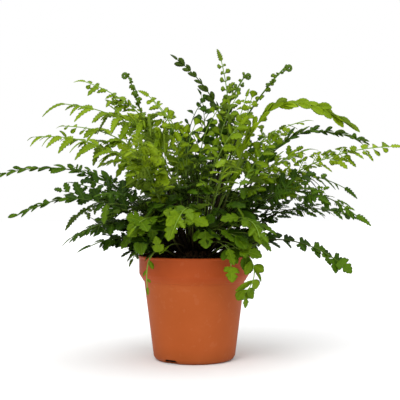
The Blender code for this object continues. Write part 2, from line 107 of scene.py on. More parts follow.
# One row for each frond: its middle and its tip, each as azimuth in degrees, reach in percent of
# PLANT_RADIUS and height over the rim in percent of PLANT_RISE, then its longest pinna in
# millimetres, the share of its length that is bare stipe, its roll in degrees, and its kind.
FRONDS = [
    ((180, 48, 38), (182, 100, 38), 28, 0.34, -35, "mature"),
    ((194, 47, 27), (190, 89, 18), 26, 0.36, -30, "mature"),
    ((164, 42, 50), (171, 90, 58), 26, 0.34, -30, "young"),
    ((221, 28, 55), (203, 74, 71), 32, 0.40, -20, "young"),
    ((152, 49, 60), (159, 81, 65), 26, 0.40, -35, "young"),
    ((164, 33, 73), (167, 63, 88), 20, 0.50, -40, "young"),
    ((186, 21, 51), (180, 35, 85), 20, 0.50, 0, "coiled"),
    ((115, 20, 61), (135, 40, 84), 20, 0.45, -30, "young"),
    ((238, 40, 40), (253, 75, 52), 34, 0.48, 0, "young"),
    ((48, 19, 71), (146, 16, 100), 18, 0.42, 70, "mature"),
    ((15, 18, 66), (338, 13, 99), 16, 0.42, -40, "young"),
    ((30, 19, 70), (27, 30, 87), 14, 0.50, 0, "coiled"),
    ((0, 30, 70), (354, 47, 88), 16, 0.50, 0, "coiled"),
    ((333, 58, 75), (335, 84, 62), 26, 0.44, 30, "young"),
    ((5, 62, 61), (3, 88, 54), 24, 0.40, 30, "mature"),
    ((357, 60, 45), (0, 104, 53), 24, 0.38, 45, "young"),
    ((336, 53, 31), (340, 86, 15), 28, 0.36, 25, "mature"),
    ((6, 48, 22), (6, 86, 16), 26, 0.36, 30, "mature"),
    ((22, 51, 39), (19, 90, 30), 26, 0.36, 25, "mature"),
    ((342, 46, 8), (343, 76, -5), 24, 0.40, 25, "mature"),
    ((315, 31, 4), (313, 42, -22), 16, 0.36, 30, "young"),
    ((180, 40, 15), (180, 66, 5), 20, 0.36, -30, "mature"),
    ((204, 40, 9), (202, 58, 3), 20, 0.38, -25, "mature"),
    ((205, 31, 3), (187, 51, 19), 22, 0.40, -20, "mature"),
    ((233, 31, 3), (238, 39, -18), 12, 0.50, 0, "young"),
    ((267, 37, 23), (262, 70, 11), 24, 0.44, 0, "young"),
    ((303, 41, 18), (294, 71, 8), 22, 0.42, 0, "young"),
    ((293, 30, 34), (284, 62, 47), 26, 0.42, 0, "young"),
    ((320, 33, 34), (303, 54, 43), 24, 0.42, 0, "mature"),
    ((51, 36, 66), (53, 49, 86), 20, 0.46, 20, "young"),
    ((26, 42, 59), (25, 70, 69), 22, 0.44, 25, "young"),
    ((342, 42, 44), (333, 66, 51), 26, 0.40, 25, "young"),
    ((223, 41, 29), (224, 63, 28), 28, 0.38, -10, "mature"),
    ((239, 38, 19), (241, 59, 11), 24, 0.40, 0, "young"),
    ((302, 31, 5), (295, 38, -8), 12, 0.48, 20, "young"),
    ((283, 24, 15), (280, 36, 7), 18, 0.40, 0, "mature"),
    ((322, 31, 27), (319, 46, 25), 22, 0.38, 0, "mature"),
    ((239, 27, 25), (240, 43, 20), 22, 0.38, 0, "mature"),
    ((272, 16, 41), (280, 32, 50), 24, 0.40, 0, "mature"),
    ((60, 35, 45), (60, 77, 35), 30, 0.36, 0, "mature"),
    ((78, 38, 30), (80, 84, 18), 30, 0.36, 0, "mature"),
    ((92, 36, 48), (98, 84, 38), 30, 0.36, 0, "young"),
    ((112, 40, 28), (115, 86, 20), 30, 0.36, 0, "mature"),
    ((128, 38, 45), (133, 81, 45), 30, 0.36, 0, "young"),
    ((142, 42, 25), (145, 86, 15), 30, 0.36, 0, "mature"),
    ((40, 42, 30), (40, 86, 25), 30, 0.36, 0, "mature"),
    ((90, 40, 10), (92, 62, -8), 24, 0.38, 0, "mature"),
    ((125, 38, 8), (125, 64, -10), 24, 0.38, 0, "mature"),
    ((50, 38, 8), (52, 66, 0), 24, 0.38, 0, "mature"),
    ((100, 15, 45), (105, 25, 62), 16, 0.48, 0, "coiled"),
    ((212, 44, 17), (210, 66, 8), 26, 0.36, -10, "mature"),
]

# What is tried in turn until a stem or a pinna is clear: a stem's middle moved in millimetres,
# a pinna folded in degrees, and a pinna shortened
SIDE_STEPS = (0, 3, -3, 6, -6, 9, -9, 12, -12, 16, -16)
FOLDS = (0, 16, -16, 32, -32, 50, -50)
LENGTH_TRIES = (1.0, 0.78, 0.58)

COLLAR_BOTTOM = POT_HEIGHT - COLLAR_HEIGHT
WALL_TOP_RADIUS = RIM_RADIUS - COLLAR_DRAFT - COLLAR_STEP
SOIL_TOP = POT_HEIGHT - SOIL_BELOW_RIM
CHAMFER_TOP = COLLAR_BOTTOM + COLLAR_CHAMFER
UP = Vector((0, 0, 1))
CROWN_CENTRE = UP * (SOIL_TOP - CROWN_SUNK)

# ---------------------------------------------------------------- layout


def arc(centre, radius, start, end, steps):
    """Points on an arc in the radius-height plane, from start to end in degrees."""
    angles = [math.radians(start + (end - start) * k / steps) for k in range(steps + 1)]
    return [(centre[0] + radius * math.cos(a), centre[1] + radius * math.sin(a)) for a in angles]


def wall_radius(height):
    """Outer radius of the tapered wall below the collar."""
    share = (height - BASE_CORNER) / (COLLAR_BOTTOM - BASE_CORNER)
    return BASE_RADIUS + (WALL_TOP_RADIUS - BASE_RADIUS) * share


def collar_radius(height):
    """Outer radius of the collar."""
    share = (height - CHAMFER_TOP) / (POT_HEIGHT - CHAMFER_TOP)
    return RIM_RADIUS - COLLAR_DRAFT * (1 - share)


def inner_profile(inset):
    """The tub's inner face moved inwards by inset, from its floor up to the collar's chamfer."""
    corner = BASE_CORNER - WALL
    foot = BASE_RADIUS - WALL
    profile = arc((foot - corner, FLOOR + corner), corner - inset, -90, 0, CORNER_STEPS)
    profile.append((wall_radius(COLLAR_BOTTOM) - WALL - inset, COLLAR_BOTTOM))
    profile.append((collar_radius(CHAMFER_TOP) - WALL - inset, CHAMFER_TOP))
    return profile


def heading(azimuth):
    """The level direction at an azimuth in degrees."""
    angle = math.radians(azimuth)
    return Vector((math.cos(angle), math.sin(angle), 0))


def outward(point):
    """The level direction from the pot's axis to a point."""
    return Vector((point.x, point.y, 0)).normalized()


def place(azimuth, reach, height):
    """A row's azimuth, reach and height as a point."""
    point = heading(azimuth) * reach / 100 * PLANT_RADIUS
    return point + UP * (POT_HEIGHT + height / 100 * PLANT_RISE)


def limit_elevation(direction):
    """The direction, no lower and no steeper than a stem may leave the crown."""
    elevation = math.degrees(math.atan2(direction.z, math.hypot(direction.x, direction.y)))
    elevation = math.radians(min(max(elevation, LOWEST_START), STEEPEST_START))
    return outward(direction) * math.cos(elevation) + UP * math.sin(elevation)


def start_directions(rows):
    """The way each stem leaves the crown: towards its frond's middle, then pushed apart."""
    found = [limit_elevation(place(*row[0]) - CROWN_CENTRE) for row in rows]
    least = math.radians(BASE_SPACING)
    for _ in range(MOST_PUSHES):
        crowded = False
        for i, j in itertools.combinations(range(len(found)), 2):
            angle = found[i].angle(found[j])
            if angle >= least:
                continue
            crowded = True
            axis = found[i].cross(found[j])
            half = (least - angle) / 2 + 1e-4
            found[i] = limit_elevation(Quaternion(axis, -half) @ found[i])
            found[j] = limit_elevation(Quaternion(axis, half) @ found[j])
        if not crowded:
            break
    return found


def bent(start, end, leave, arrive):
    """Points on a cubic from start to end, with its velocity at each end."""
    found = []
    for k in range(CURVE_STEPS + 1):
        t = k / CURVE_STEPS
        found.append(
            start * (2 * t**3 - 3 * t**2 + 1)
            + leave * (t**3 - 2 * t**2 + t)
            + end * (3 * t**2 - 2 * t**3)
            + arrive * (t**3 - t**2)
        )
    return found


def tube_offsets(side, normal, radius):
    """A stem's section: left shoulder, right shoulder and keel."""
    return [
        side * radius + normal * radius * 0.6,
        -side * radius + normal * radius * 0.6,
        -normal * radius,
    ]


class Stem:
    """A frond's stem: it leaves the crown squarely, passes its middle and ends at its tip."""

    def __init__(self, row, start, shift):
        middle, tip, pinna, bare, roll, kind = row
        self.tip = place(*tip)
        passed = place(*middle) + UP.cross(start).normalized() * shift
        base = CROWN_CENTRE + start * (CROWN_RADIUS + FIT_GAP)
        near, far = passed - base, self.tip - passed
        bend = (near.normalized() * far.length + far.normalized() * near.length).normalized()
        self.points = bent(base, passed, start * near.length, bend * near.length)
        self.points += bent(passed, self.tip, bend * far.length, 2 * far - bend * far.length)[1:]
        self.lengths = [0.0]
        for a, b in zip(self.points, self.points[1:]):
            self.lengths.append(self.lengths[-1] + (b - a).length)
        self.length = self.lengths[-1]
        self.kind = kind
        self.pinna = pinna / 1000
        self.blade_start = self.length * bare
        self.end_pinna = max(END_PINNA_SHARE * self.pinna, SHORTEST_END_PINNA)
        self.tube_end = self.length if kind == "coiled" else self.length - self.end_pinna
        self.blade_end = self.tube_end - (YOUNG_TIP if kind == "coiled" else PINNA_SPACE)
        self.side = UP.cross(heading(tip[0]))
        self.roll = math.radians(roll)

    def at(self, distance):
        """The point that far along the stem."""
        distance = min(max(distance, 0.0), self.length)
        k = 1
        while k < len(self.points) - 1 and self.lengths[k] < distance:
            k += 1
        span = self.lengths[k] - self.lengths[k - 1]
        return self.points[k - 1].lerp(self.points[k], (distance - self.lengths[k - 1]) / span)

    def frame(self, distance):
        """Tangent, left axis and upper normal of the blade there."""
        step = self.length / CURVE_STEPS / 2
        tangent = (self.at(distance + step) - self.at(distance - step)).normalized()
        side = (self.side - tangent * self.side.dot(tangent)).normalized()
        side = Quaternion(tangent, self.roll) @ side
        return tangent, side, tangent.cross(side)

    def radius(self, distance):
        """The stem's radius there: it tapers evenly."""
        return STIPE_RADIUS + (TIP_RADIUS - STIPE_RADIUS) * distance / self.length

    def section(self, distance, clearance=0.0):
        """The three corners of the stem's tube there, grown by the clearance."""
        tangent, side, normal = self.frame(distance)
        offsets = tube_offsets(side, normal, self.radius(distance) + 2 * clearance)
        return [self.at(distance) + offset for offset in offsets]

    def coil_sections(self, clearance=0.0):
        """The tube's corners round a young stem's fiddlehead: a flat spiral, down and back."""
        if self.kind != "coiled":
            return []
        tangent, side, normal = self.frame(self.length)
        inwards = normal if normal.z < 0 else -normal
        centre = self.tip + inwards * COIL_RADIUS
        found = []
        for k in range(1, COIL_STEPS + 1):
            turn = 2 * math.pi * COIL_TURNS * k / COIL_STEPS
            radius = COIL_RADIUS * (1 - (1 - COIL_SHRINK) * k / COIL_STEPS)
            point = centre + (tangent * math.sin(turn) - inwards * math.cos(turn)) * radius
            onwards = inwards * math.sin(turn) + tangent * math.cos(turn)
            offsets = tube_offsets(side, onwards.cross(side), TIP_RADIUS + 2 * clearance)
            found.append([point + offset for offset in offsets])
        return found

    def pinna_places(self):
        """Where pairs of pinnae leave the stem, from the base outwards: (distance, length)."""
        found, distance = [], self.blade_start
        while distance < self.blade_end:
            share = (distance - self.blade_start) / (self.tube_end - self.blade_start)
            length = self.pinna * (1 - PINNA_TAPER * share**1.3)
            found.append((distance, length))
            distance += length * PINNA_PITCH_SHARE + PINNA_SPACE
        return found

    def obstacle(self, clearance):
        """The whole stem as a tube grown by the clearance, for overlap tests."""
        places = [min(length, self.tube_end) for length in self.lengths[1:]]
        sections = [self.section(distance, clearance) for distance in places]
        sections += self.coil_sections(clearance)
        faces = []
        for first in range(0, 3 * len(sections) - 3, 3):
            for k in range(3):
                a, b = first + k, first + (k + 1) % 3
                faces.append((a, b, b + 3, a + 3))
        return Obstacle(sum(sections, []), faces)


class Pinna:
    """A thin plate that widens from its root on the stem, then narrows to its tip.

    side is 1 on the stem's left, -1 on its right and 0 for the one at the stem's end.
    """

    def __init__(self, stem, distance, side, length, fold):
        tangent, left, normal = stem.frame(distance)
        along = tangent
        if side:
            lean = math.radians(PINNA_ANGLE)
            folded = Quaternion(tangent, side * math.radians(fold))
            left, normal = folded @ left, folded @ normal
            along = tangent * math.cos(lean) + left * side * math.sin(lean)
        self.distance = distance
        self.side = side
        self.length = length
        self.normal = normal
        self.across = normal.cross(along).normalized()
        self.root = stem.at(distance) + left * side * stem.radius(distance)
        self.middle = self.root + along * length * WIDEST_SHARE
        outer = (along - UP * PINNA_DROOP).normalized()
        self.tip = self.middle + outer * length * (1 - WIDEST_SHARE)

    def ring(self, centre, width, thickness):
        """The plate's four corners about a point, in order round its edge."""
        wide, thick = self.across * width / 2, self.normal * thickness / 2
        signs = ((-1, -1), (1, -1), (1, 1), (-1, 1))
        return [centre + wide * across + thick * up for across, up in signs]

    def obstacle(self):
        """The plate past its neck, grown by the clearance, for overlap tests."""
        neck = self.root + (self.middle - self.root).normalized() * PINNA_NECK
        thickness = LEAF_THICKNESS + 2 * CLEARANCE
        corners = self.ring(neck, PINNA_ROOT_WIDTH, thickness)
        corners += self.ring(self.middle, self.length * LEAF_WIDTH_SHARE + 2 * CLEARANCE, thickness)
        corners.append(self.tip + (self.tip - self.middle).normalized() * CLEARANCE)
        faces = [(0, 3, 2, 1)]
        faces += [(k, (k + 1) % 4, 4 + (k + 1) % 4, 4 + k) for k in range(4)]
        faces += [(4 + k, 4 + (k + 1) % 4, 8) for k in range(4)]
        return Obstacle(corners, faces)


class Obstacle:
    """Faces with their bounding box, for overlap tests."""

    def __init__(self, corners, faces):
        self.low = [min(corner[k] for corner in corners) for k in range(3)]
        self.high = [max(corner[k] for corner in corners) for k in range(3)]
        self.tree = BVHTree.FromPolygons(corners, faces)

    def meets(self, other):
        """Whether any of its faces cuts one of the other's."""
        for k in range(3):
            if self.low[k] > other.high[k] or other.low[k] > self.high[k]:
                return False
        return bool(self.tree.overlap(other.tree))


def lay_stems(rows):
    """A stem for each row, its middle moved sideways where it would meet one laid before it."""
    laid, tubes = [], []
    for row, start in zip(rows, start_directions(rows)):
        tried = []
        for step in SIDE_STEPS:
            stem = Stem(row, start, step / 1000)
            tube = stem.obstacle(STEM_GAP / 2)
            met = sum(tube.meets(other) for other in tubes)
            tried.append((met, stem, tube))
            if not met:
                break
        _, stem, tube = min(tried, key=lambda entry: entry[0])
        laid.append(stem)
        tubes.append(tube)
    return laid


def clear_pinna(stem, distance, side, length, taken):
    """The first pinna to be clear of everything taken, as it folds and shortens, or None."""
    for share in LENGTH_TRIES:
        for fold in FOLDS:
            pinna = Pinna(stem, distance, side, length * share, fold)
            grown = pinna.obstacle()
            if not any(grown.meets(other) for other in taken):
                taken.append(grown)
                return pinna
    return None


def grow_pinnae(stems, fixed):
    """A list of pinnae for each stem: the one at its end as it falls, then side pinnae, each clear of the
    pot, the stems and the pinnae before it.
    """
    taken = fixed + [stem.obstacle(CLEARANCE) for stem in stems]
    grown = []
    for stem in stems:
        pinnae = []
        if stem.kind != "coiled":
            pinnae.append(Pinna(stem, stem.tube_end + CLEARANCE, 0, stem.end_pinna, 0))
            taken.append(pinnae[0].obstacle())
        grown.append(pinnae)
    for stem, pinnae in zip(stems, grown):
        for distance, length in reversed(stem.pinna_places()):
            for side in (1, -1):
                pinna = clear_pinna(stem, distance, side, length, taken)
                if pinna:
                    pinnae.append(pinna)
    return grown


# ---------------------------------------------------------------- meshes


def put(name, data):
    """A new object with the data, in the scene."""
    obj = bpy.data.objects.new(name, data)
    bpy.context.scene.collection.objects.link(obj)
    return obj


def ride_as(obj, node=None):
    """Puts a piece on the part's one body, in place of the CAD node it stands for."""
    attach(obj, "root")
    if node:
        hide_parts(node)


class Builder:
    """Collects points and faces with a material index, then makes one object of them."""

    def __init__(self, name, materials):
        self.name, self.materials = name, materials
        self.points, self.faces, self.indices, self.tones, self.places = [], [], [], [], []
        self.count = 0

    def add(self, points, faces, index, tone, places):
        """points (n, 3), faces as index lists or one index per face, and a (u, v) place per point."""
        points = np.asarray(points, float)
        self.points.append(points)
        self.faces += [tuple(self.count + k for k in face) for face in faces]
        self.indices += index if isinstance(index, list) else [index] * len(faces)
        self.tones.append(np.full(len(points), tone) if np.isscalar(tone) else np.asarray(tone))
        self.places.append(np.asarray(places, float))
        self.count += len(points)

    def make(self):
        """The object, with each point's tone and place as attributes for its materials."""
        mesh = bpy.data.meshes.new(self.name)
        mesh.from_pydata(np.concatenate(self.points).tolist(), [], self.faces)
        for material in self.materials:
            mesh.materials.append(material)
        mesh.polygons.foreach_set("material_index", self.indices)
        tone = mesh.attributes.new("tone", "FLOAT", "POINT")
        tone.data.foreach_set("value", np.concatenate(self.tones))
        place = mesh.attributes.new("place", "FLOAT_VECTOR", "POINT")
        flat = np.concatenate(self.places)
        place.data.foreach_set("vector", np.column_stack([flat, np.zeros(len(flat))]).ravel())
        mesh.shade_smooth()
        mesh.update()
        return put(self.name, mesh)


# ---------------------------------------------------------------- leaves

# Outlines: (along, out) down one side of a leaflet of unit length, from its base to its tip
OUTLINES = {
    "oval": [
        (0, 0.02), (0.12, 0.17), (0.24, 0.28), (0.30, 0.27), (0.44, 0.37), (0.50, 0.35), (0.64, 0.39),
        (0.68, 0.34), (0.82, 0.31), (0.84, 0.24), (0.95, 0.14), (1.0, 0.0),
    ],
    "fan": [
        (0, 0.02), (0.22, 0.06), (0.46, 0.25), (0.66, 0.43), (0.72, 0.37), (0.90, 0.36), (0.89, 0.26),
        (1.0, 0.17), (0.96, 0.08), (1.0, 0.0),
    ],
    "small": [(0, 0.02), (0.25, 0.10), (0.55, 0.34), (0.72, 0.40), (0.78, 0.30), (0.97, 0.20), (1.0, 0.0)],
    "maple": [
        (0, 0.02), (0.10, 0.04), (0.13, 0.16), (0.15, 0.28), (0.20, 0.38), (0.27, 0.41), (0.33, 0.39),
        (0.38, 0.44), (0.46, 0.45), (0.50, 0.37), (0.50, 0.26), (0.51, 0.18), (0.57, 0.24), (0.63, 0.32),
        (0.71, 0.34), (0.75, 0.29), (0.77, 0.23), (0.82, 0.25), (0.88, 0.21), (0.91, 0.14), (0.96, 0.11),
        (0.99, 0.06), (1.0, 0.0),
    ],
}


LOBES_START, LOBES_SPAN = 0.06, 0.78
LOBE_TAPER, FIRST_LOBE, LOBE_LEAN = 0.80, 0.84, 0.42


def lobed_outline(lobes, width, depth, steps):
    """A tapering blade with rounded, forward-pointing lobes."""
    found = [(0, 0.02), (0.05, 0.035)]
    for k in range(lobes):
        start, end = LOBES_START + LOBES_SPAN * k / lobes, LOBES_START + LOBES_SPAN * (k + 1) / lobes
        out = width * (1 - LOBE_TAPER * start**1.3) * (FIRST_LOBE if k == 0 else 1.0)
        for step in range(steps + 1):
            turn = math.pi * (0.10 + 0.90 * step / steps)
            swell = out * (1 - depth + depth * math.sin(turn) ** 0.7)
            found.append((start + (end - start) * step / steps + LOBE_LEAN * swell, swell))
        found[-1] = (found[-1][0] - 0.01, out * (1 - depth) * 0.92)
    return found + [(0.93, width * 0.24), (0.975, width * 0.14), (1.0, 0.0)]


OUTLINES["blade"] = lobed_outline(3, 0.27, 0.38, 3)
OUTLINES["broad"] = lobed_outline(3, 0.37, 0.36, 3)
OUTLINES["short"] = lobed_outline(3, 0.33, 0.42, 2)
OUTLINES["strap"] = lobed_outline(5, 0.19, 0.40, 2)

# A leaflet's section: half its thickness at the rib, then shares of its half width
RIB_THICKNESS = 0.010
EDGE_LIFT = 0.10
RIB_SINK = 0.13
FLANK_SLOPE = 0.23
FLANK_LEVEL = 0.45
FLANK_ARCH = 0.07
VEIN_SLANT = 0.40


def leaf_template(outline, rows):
    """A closed lens with its face up +Z: points, faces, their sides (0 top, 1 underside)."""
    points, faces, sides = [], [], []
    middles, last = [], 0.0
    for along, out in outline:
        last = max(last + 0.004, along - VEIN_SLANT * out)
        middles.append(min(last, 1.0))
    edges = {}
    for side in (1, -1):
        edges[side] = []
        for along, out in outline:
            edges[side].append(len(points))
            points.append((along, side * out, EDGE_LIFT * out))
    rails = {}
    for level in (1, -1):
        ribs = []
        for middle, (along, out) in zip(middles, outline):
            ribs.append(len(points))
            points.append((middle, 0.0, RIB_THICKNESS * level - RIB_SINK * out))
        for side in (1, -1):
            rails[level, side] = [ribs]
            for row in range(1, rows):
                share = row / rows
                lift = FLANK_SLOPE * (share - FLANK_LEVEL) + FLANK_ARCH * math.sin(math.pi * share)
                rail = []
                for middle, (along, out) in zip(middles, outline):
                    rail.append(len(points))
                    x = middle + (along - middle) * share
                    points.append((x, side * out * share, RIB_THICKNESS * level + out * lift))
                rails[level, side].append(rail)
            rails[level, side].append(edges[side])
    for (level, side), lines in rails.items():
        for inner, outer in zip(lines, lines[1:]):
            for k in range(len(outline) - 1):
                face = (inner[k], inner[k + 1], outer[k + 1], outer[k])
                faces.append(face if level * side < 0 else tuple(reversed(face)))
                sides.append(0 if level > 0 else 1)
    return np.array(points), faces, sides


TEMPLATES = {kind: leaf_template(outline, 1) for kind, outline in OUTLINES.items()}
FINE_TEMPLATES = {kind: leaf_template(outline, 3) for kind, outline in OUTLINES.items()}

LEAF_CURL, END_CURL = 0.08, 0.09
ROOT_SUNK = 0.0006
STEM, TOP = 0, 1  # a frond's materials: its stem, then its leaves' upper sides and undersides
FINE_LEAF = 0.014
RIM_OUTSIDE = RIM_RADIUS + 0.0018
RIM_INSIDE = RIM_RADIUS - 0.0065
RIM_TOP = POT_HEIGHT + 0.0008
HANGING_BELOW = POT_HEIGHT - 0.015


def add_leaf(builder, kind, root, end, normal, width, curl, tone):
    """One leaflet from root to end, with its face towards normal and its tip bent down."""
    length = (end - root).length
    points, faces, sides = (FINE_TEMPLATES if length > FINE_LEAF else TEMPLATES)[kind]
    across = normal.cross(end - root).normalized()
    middle = (root + end) / 2 + UP * length * curl
    a, b, c = (np.array(corner[:]) for corner in (root, middle, end))
    t = points[:, :1]
    centre = a * (1 - t) ** 2 + b * 2 * t * (1 - t) + c * t**2
    tangent = (b - a) * (1 - t) + (c - b) * t
    tangent /= np.linalg.norm(tangent, axis=1, keepdims=True)
    side = np.array(across[:])
    up = np.cross(tangent, side)
    world = centre + side * points[:, 1:2] * length * width + up * points[:, 2:] * length
    builder.add(clear_of_rim(world), faces, [TOP + k for k in sides], tone, points[:, :2])


def clear_of_rim(points):
    """Bends a leaflet that would cut the pot: out where it hangs beside it, else up over the rim."""
    radius = np.hypot(points[:, 0], points[:, 1])
    low = points[:, 2] < RIM_TOP
    if radius.mean() > RIM_OUTSIDE or points[:, 2].mean() < HANGING_BELOW:
        caught = low & (radius < RIM_OUTSIDE)
        points[caught, :2] *= (RIM_OUTSIDE / radius[caught])[:, None]
    else:
        caught = low & (radius > RIM_INSIDE)
        points[caught, 2] = RIM_TOP + 0.2 * (points[caught, 2] - points[:, 2].min())
    return points


def turned_normal(normal, along, tilt):
    """The normal tipped about the leaf's own length, in radians."""
    return Quaternion(along.normalized(), tilt) @ normal


def add_tube(builder, path, radii, normals, sides, tones):
    """A closed tube through the path, with a shallow groove along its upper side."""
    points, places = [], []
    for k, centre in enumerate(path):
        ahead = path[min(k + 1, len(path) - 1)] - path[max(k - 1, 0)]
        tangent = ahead.normalized()
        across = tangent.cross(normals[k]).normalized()
        up = across.cross(tangent)
        for s in range(sides):
            angle = 2 * math.pi * s / sides
            groove = 0.78 if s == sides // 4 and sides > 5 else 1.0
            offset = (across * math.cos(angle) + up * math.sin(angle)) * radii[k] * groove
            points.append(centre + offset)
            places.append((k / (len(path) - 1), s / sides))
    faces = []
    for k in range(len(path) - 1):
        for s in range(sides):
            a, b = k * sides + s, k * sides + (s + 1) % sides
            faces.append((a, b, b + sides, a + sides))
    faces.append(tuple(reversed(range(sides))))
    faces.append(tuple(range((len(path) - 1) * sides, len(path) * sides)))
    builder.add(points, faces, STEM, np.repeat(tones, sides), places)


def quadratic(a, handle, c, steps):
    """Points on a curve that leaves a and reaches c in line with the handle."""
    shares = [k / steps for k in range(steps + 1)]
    return [a * (1 - t) ** 2 + handle * 2 * t * (1 - t) + c * t**2 for t in shares]


def bowed(a, b, c, steps):
    """Points on a smooth curve from a through b to c."""
    return quadratic(a, b * 2 - (a + c) / 2, c, steps)


def along_path(path, share):
    """The point and direction at a share of a path's points."""
    place = share * (len(path) - 1)
    k = min(int(place), len(path) - 2)
    return path[k].lerp(path[k + 1], place - k), (path[k + 1] - path[k]).normalized()


def vary(rng, tone, spread):
    """The tone moved at random, still between 0 and 1."""
    return min(max(tone + rng.gauss(0, spread), 0.0), 1.0)


# Painted shade inside the plant: how far up from the rim and out from the axis it reaches, in metres, and the
# most tone it takes away
SHADE_RISE = 0.11
SHADE_RADIUS = 0.14
SHADE_DEPTH = 1.2


def shaded(tone, place):
    """Painted shade: leaves deep inside the plant, low over the rim and near the axis, are darkened where the
    plant shades them; they are older there, too.
    """
    if place.z < POT_HEIGHT:
        return tone
    low = max(0.0, 1 - (place.z - POT_HEIGHT) / SHADE_RISE)
    inner = max(0.0, 1 - math.hypot(place.x, place.y) / SHADE_RADIUS)
    return tone - SHADE_DEPTH * low * inner


STALK_RADII = [0.00045, 0.00042, 0.00038, 0.00032, 0.00026]
MORE_PAIRS = (0.024, 0.034, 0.044)  # a pinna has another pair of leaflets at each of these lengths
LONGEST_LEAFLET = 0.016
SHORTEST_LOBED = 0.0062


def pinna_course(stem, pinna, style, rng, length):
    """Where a pinna runs and how it faces: its root, middle, tip and normal."""
    wild = style["wild"]
    away = (pinna.tip - pinna.root).normalized()
    away = Quaternion(pinna.normal, rng.gauss(0, 0.13 * wild)) @ away
    away = away + pinna.normal * rng.gauss(0, 0.10) + UP * style["lift"]
    away = (away + stem.frame(pinna.distance)[0] * style["sweep"]).normalized()
    normal = (pinna.normal + outward(pinna.root) * style["facing"]).normalized()
    normal = turned_normal(normal, away, rng.gauss(0, 0.28))
    sag = style["droop"] * length * (1 + rng.uniform(-0.4, 0.4) * wild)
    rise = sag * 0.35 + length * (style["curl"] - 0.10) * 0.5
    middle = pinna.root + away * length * 0.5 + UP * rise
    return pinna.root - away * ROOT_SUNK, middle, pinna.root + away * length - UP * sag, normal


def dress_pinna(builder, stem, pinna, style, rng):
    """The leaves of one pinna: a single blade, or pairs of leaflets with a blade at the end."""
    length = max(pinna.length * style["grow"], style["least"])
    length *= 0.94 + rng.uniform(-0.24, 0.24) * style["wild"]
    # the tone, with painted shade where the pinna sits deep inside the plant
    tone = shaded(vary(rng, style["tone"], 0.10), pinna.root)
    root, middle, tip, normal = pinna_course(stem, pinna, style, rng, length)
    if length < style["single"]:
        add_leaf(builder, style["small_kind"], root, tip, normal, style["small_width"], LEAF_CURL, tone)
    elif length < style["compound"]:
        add_leaf(builder, style["blade"], root, tip, normal, style["blade_width"], style["curl"], tone)
    else:
        add_leaflets(builder, bowed(root, middle, tip, 8), normal, length, style, tone, rng)


def add_leaflets(builder, path, normal, length, style, tone, rng):
    """A pinna's thin stalk along the path, its pairs of leaflets and the blade at its end."""
    pairs = style["pairs"] + sum(length > limit for limit in MORE_PAIRS)
    first, last = 0.14, 0.50 + min(max(length - MORE_PAIRS[0], 0) * 9, 0.20)
    stalk = [along_path(path, (last + 0.06) * k / 4)[0] for k in range(5)]
    add_tube(builder, stalk, STALK_RADII, [normal] * 5, 4, [0.75] * 5)
    for k in range(pairs):
        for side in (1, -1):
            share = first + (last - first) * (k + 0.22 * side) / pairs + 0.03
            point, along = along_path(path, share)
            across = normal.cross(along).normalized()
            size = min(length * style["leaflet"], LONGEST_LEAFLET)
            size *= (1 - 0.5 * k / pairs) * rng.uniform(0.85, 1.12)
            lean = math.radians(style["lean"] + rng.gauss(0, 8))
            out = along * math.cos(lean) + across * side * math.sin(lean)
            face = turned_normal(normal, out, rng.gauss(0, 0.35))
            end = point + (out - UP * rng.uniform(0.0, 0.30)).normalized() * size
            kind = style["leaf"] if size > SHORTEST_LOBED else "small"
            add_leaf(builder, kind, point, end, face, style["width"], LEAF_CURL, vary(rng, tone, 0.05))
    start = along_path(path, last)[0]
    add_leaf(builder, style["blade"], start, path[-1], normal, style["blade_width"], END_CURL, tone)


# How a frond's pinnae are dressed. Lengths in metres, the rest as shares:
# grow, least: length against the solid pinna's, and the least length
# tone, facing, lift, sweep, droop, curl, wild: colour, then how pinnae turn, bend and vary
# single, compound: below these lengths a pinna is one small leaf or one blade, else leaflets
# extra, extra_from, extra_to: further pinnae between the solid ones, and where along the stem
# skip: 2 dresses every second pair; end: the blade at the frond's tip; thick: the stem
# shift: how far the tip is moved across and up, in metres
BASE_STYLE = {
    "grow": 1.18, "tone": 0.35, "droop": 0.12, "single": 0.0085, "small_kind": "fan", "small_width": 1.0,
    "compound": 0.0150, "blade": "blade", "blade_width": 1.15, "pairs": 2, "leaflet": 0.40, "lean": 52,
    "leaf": "short", "width": 1.0, "extra": 0.9, "extra_from": 0.50, "extra_to": 0.80,
    "facing": 0.35, "lift": 0.0, "skip": 1, "end": "strap",
    "least": 0.0, "sweep": 0.25, "curl": 0.12, "shift": (0.0, 0.0), "wild": 1.0, "thick": 0.92,
}
STYLES = {
    "mature": BASE_STYLE,
    "young": {**BASE_STYLE, "tone": 0.55},
    "coiled": {**BASE_STYLE, "tone": 0.45, "grow": 1.0, "extra": 0.5, "thick": 1.5},
}
# Looks that a few fronds share
SWEPT = {
    "blade": "oval", "blade_width": 0.50, "sweep": 1.5, "lift": 0.20, "droop": 0.04, "compound": 0.017,
    "extra": 1.2, "extra_to": 0.98, "grow": 0.85, "least": 0.010,
}
LOOSE = {"wild": 1.8, "compound": 0.024, "sweep": 0.6, "curl": 0.24, "grow": 1.2, "blade_width": 1.25}
LAPPED = {"droop": 0.06, "extra": 1.0, "extra_to": 0.92}
MAPLE = {"blade": "maple", "compound": 0.040, "facing": 0.9, "skip": 2}
SIMPLE = {"single": 0.030, "small_kind": "oval", "skip": 2, "tone": 0.40, "extra": 0.0}
LIGHT = {"droop": 0.22, "compound": 0.022}
LOBED = {"facing": 0.8, "blade": "broad", "leaf": "maple", "extra": 0.5}
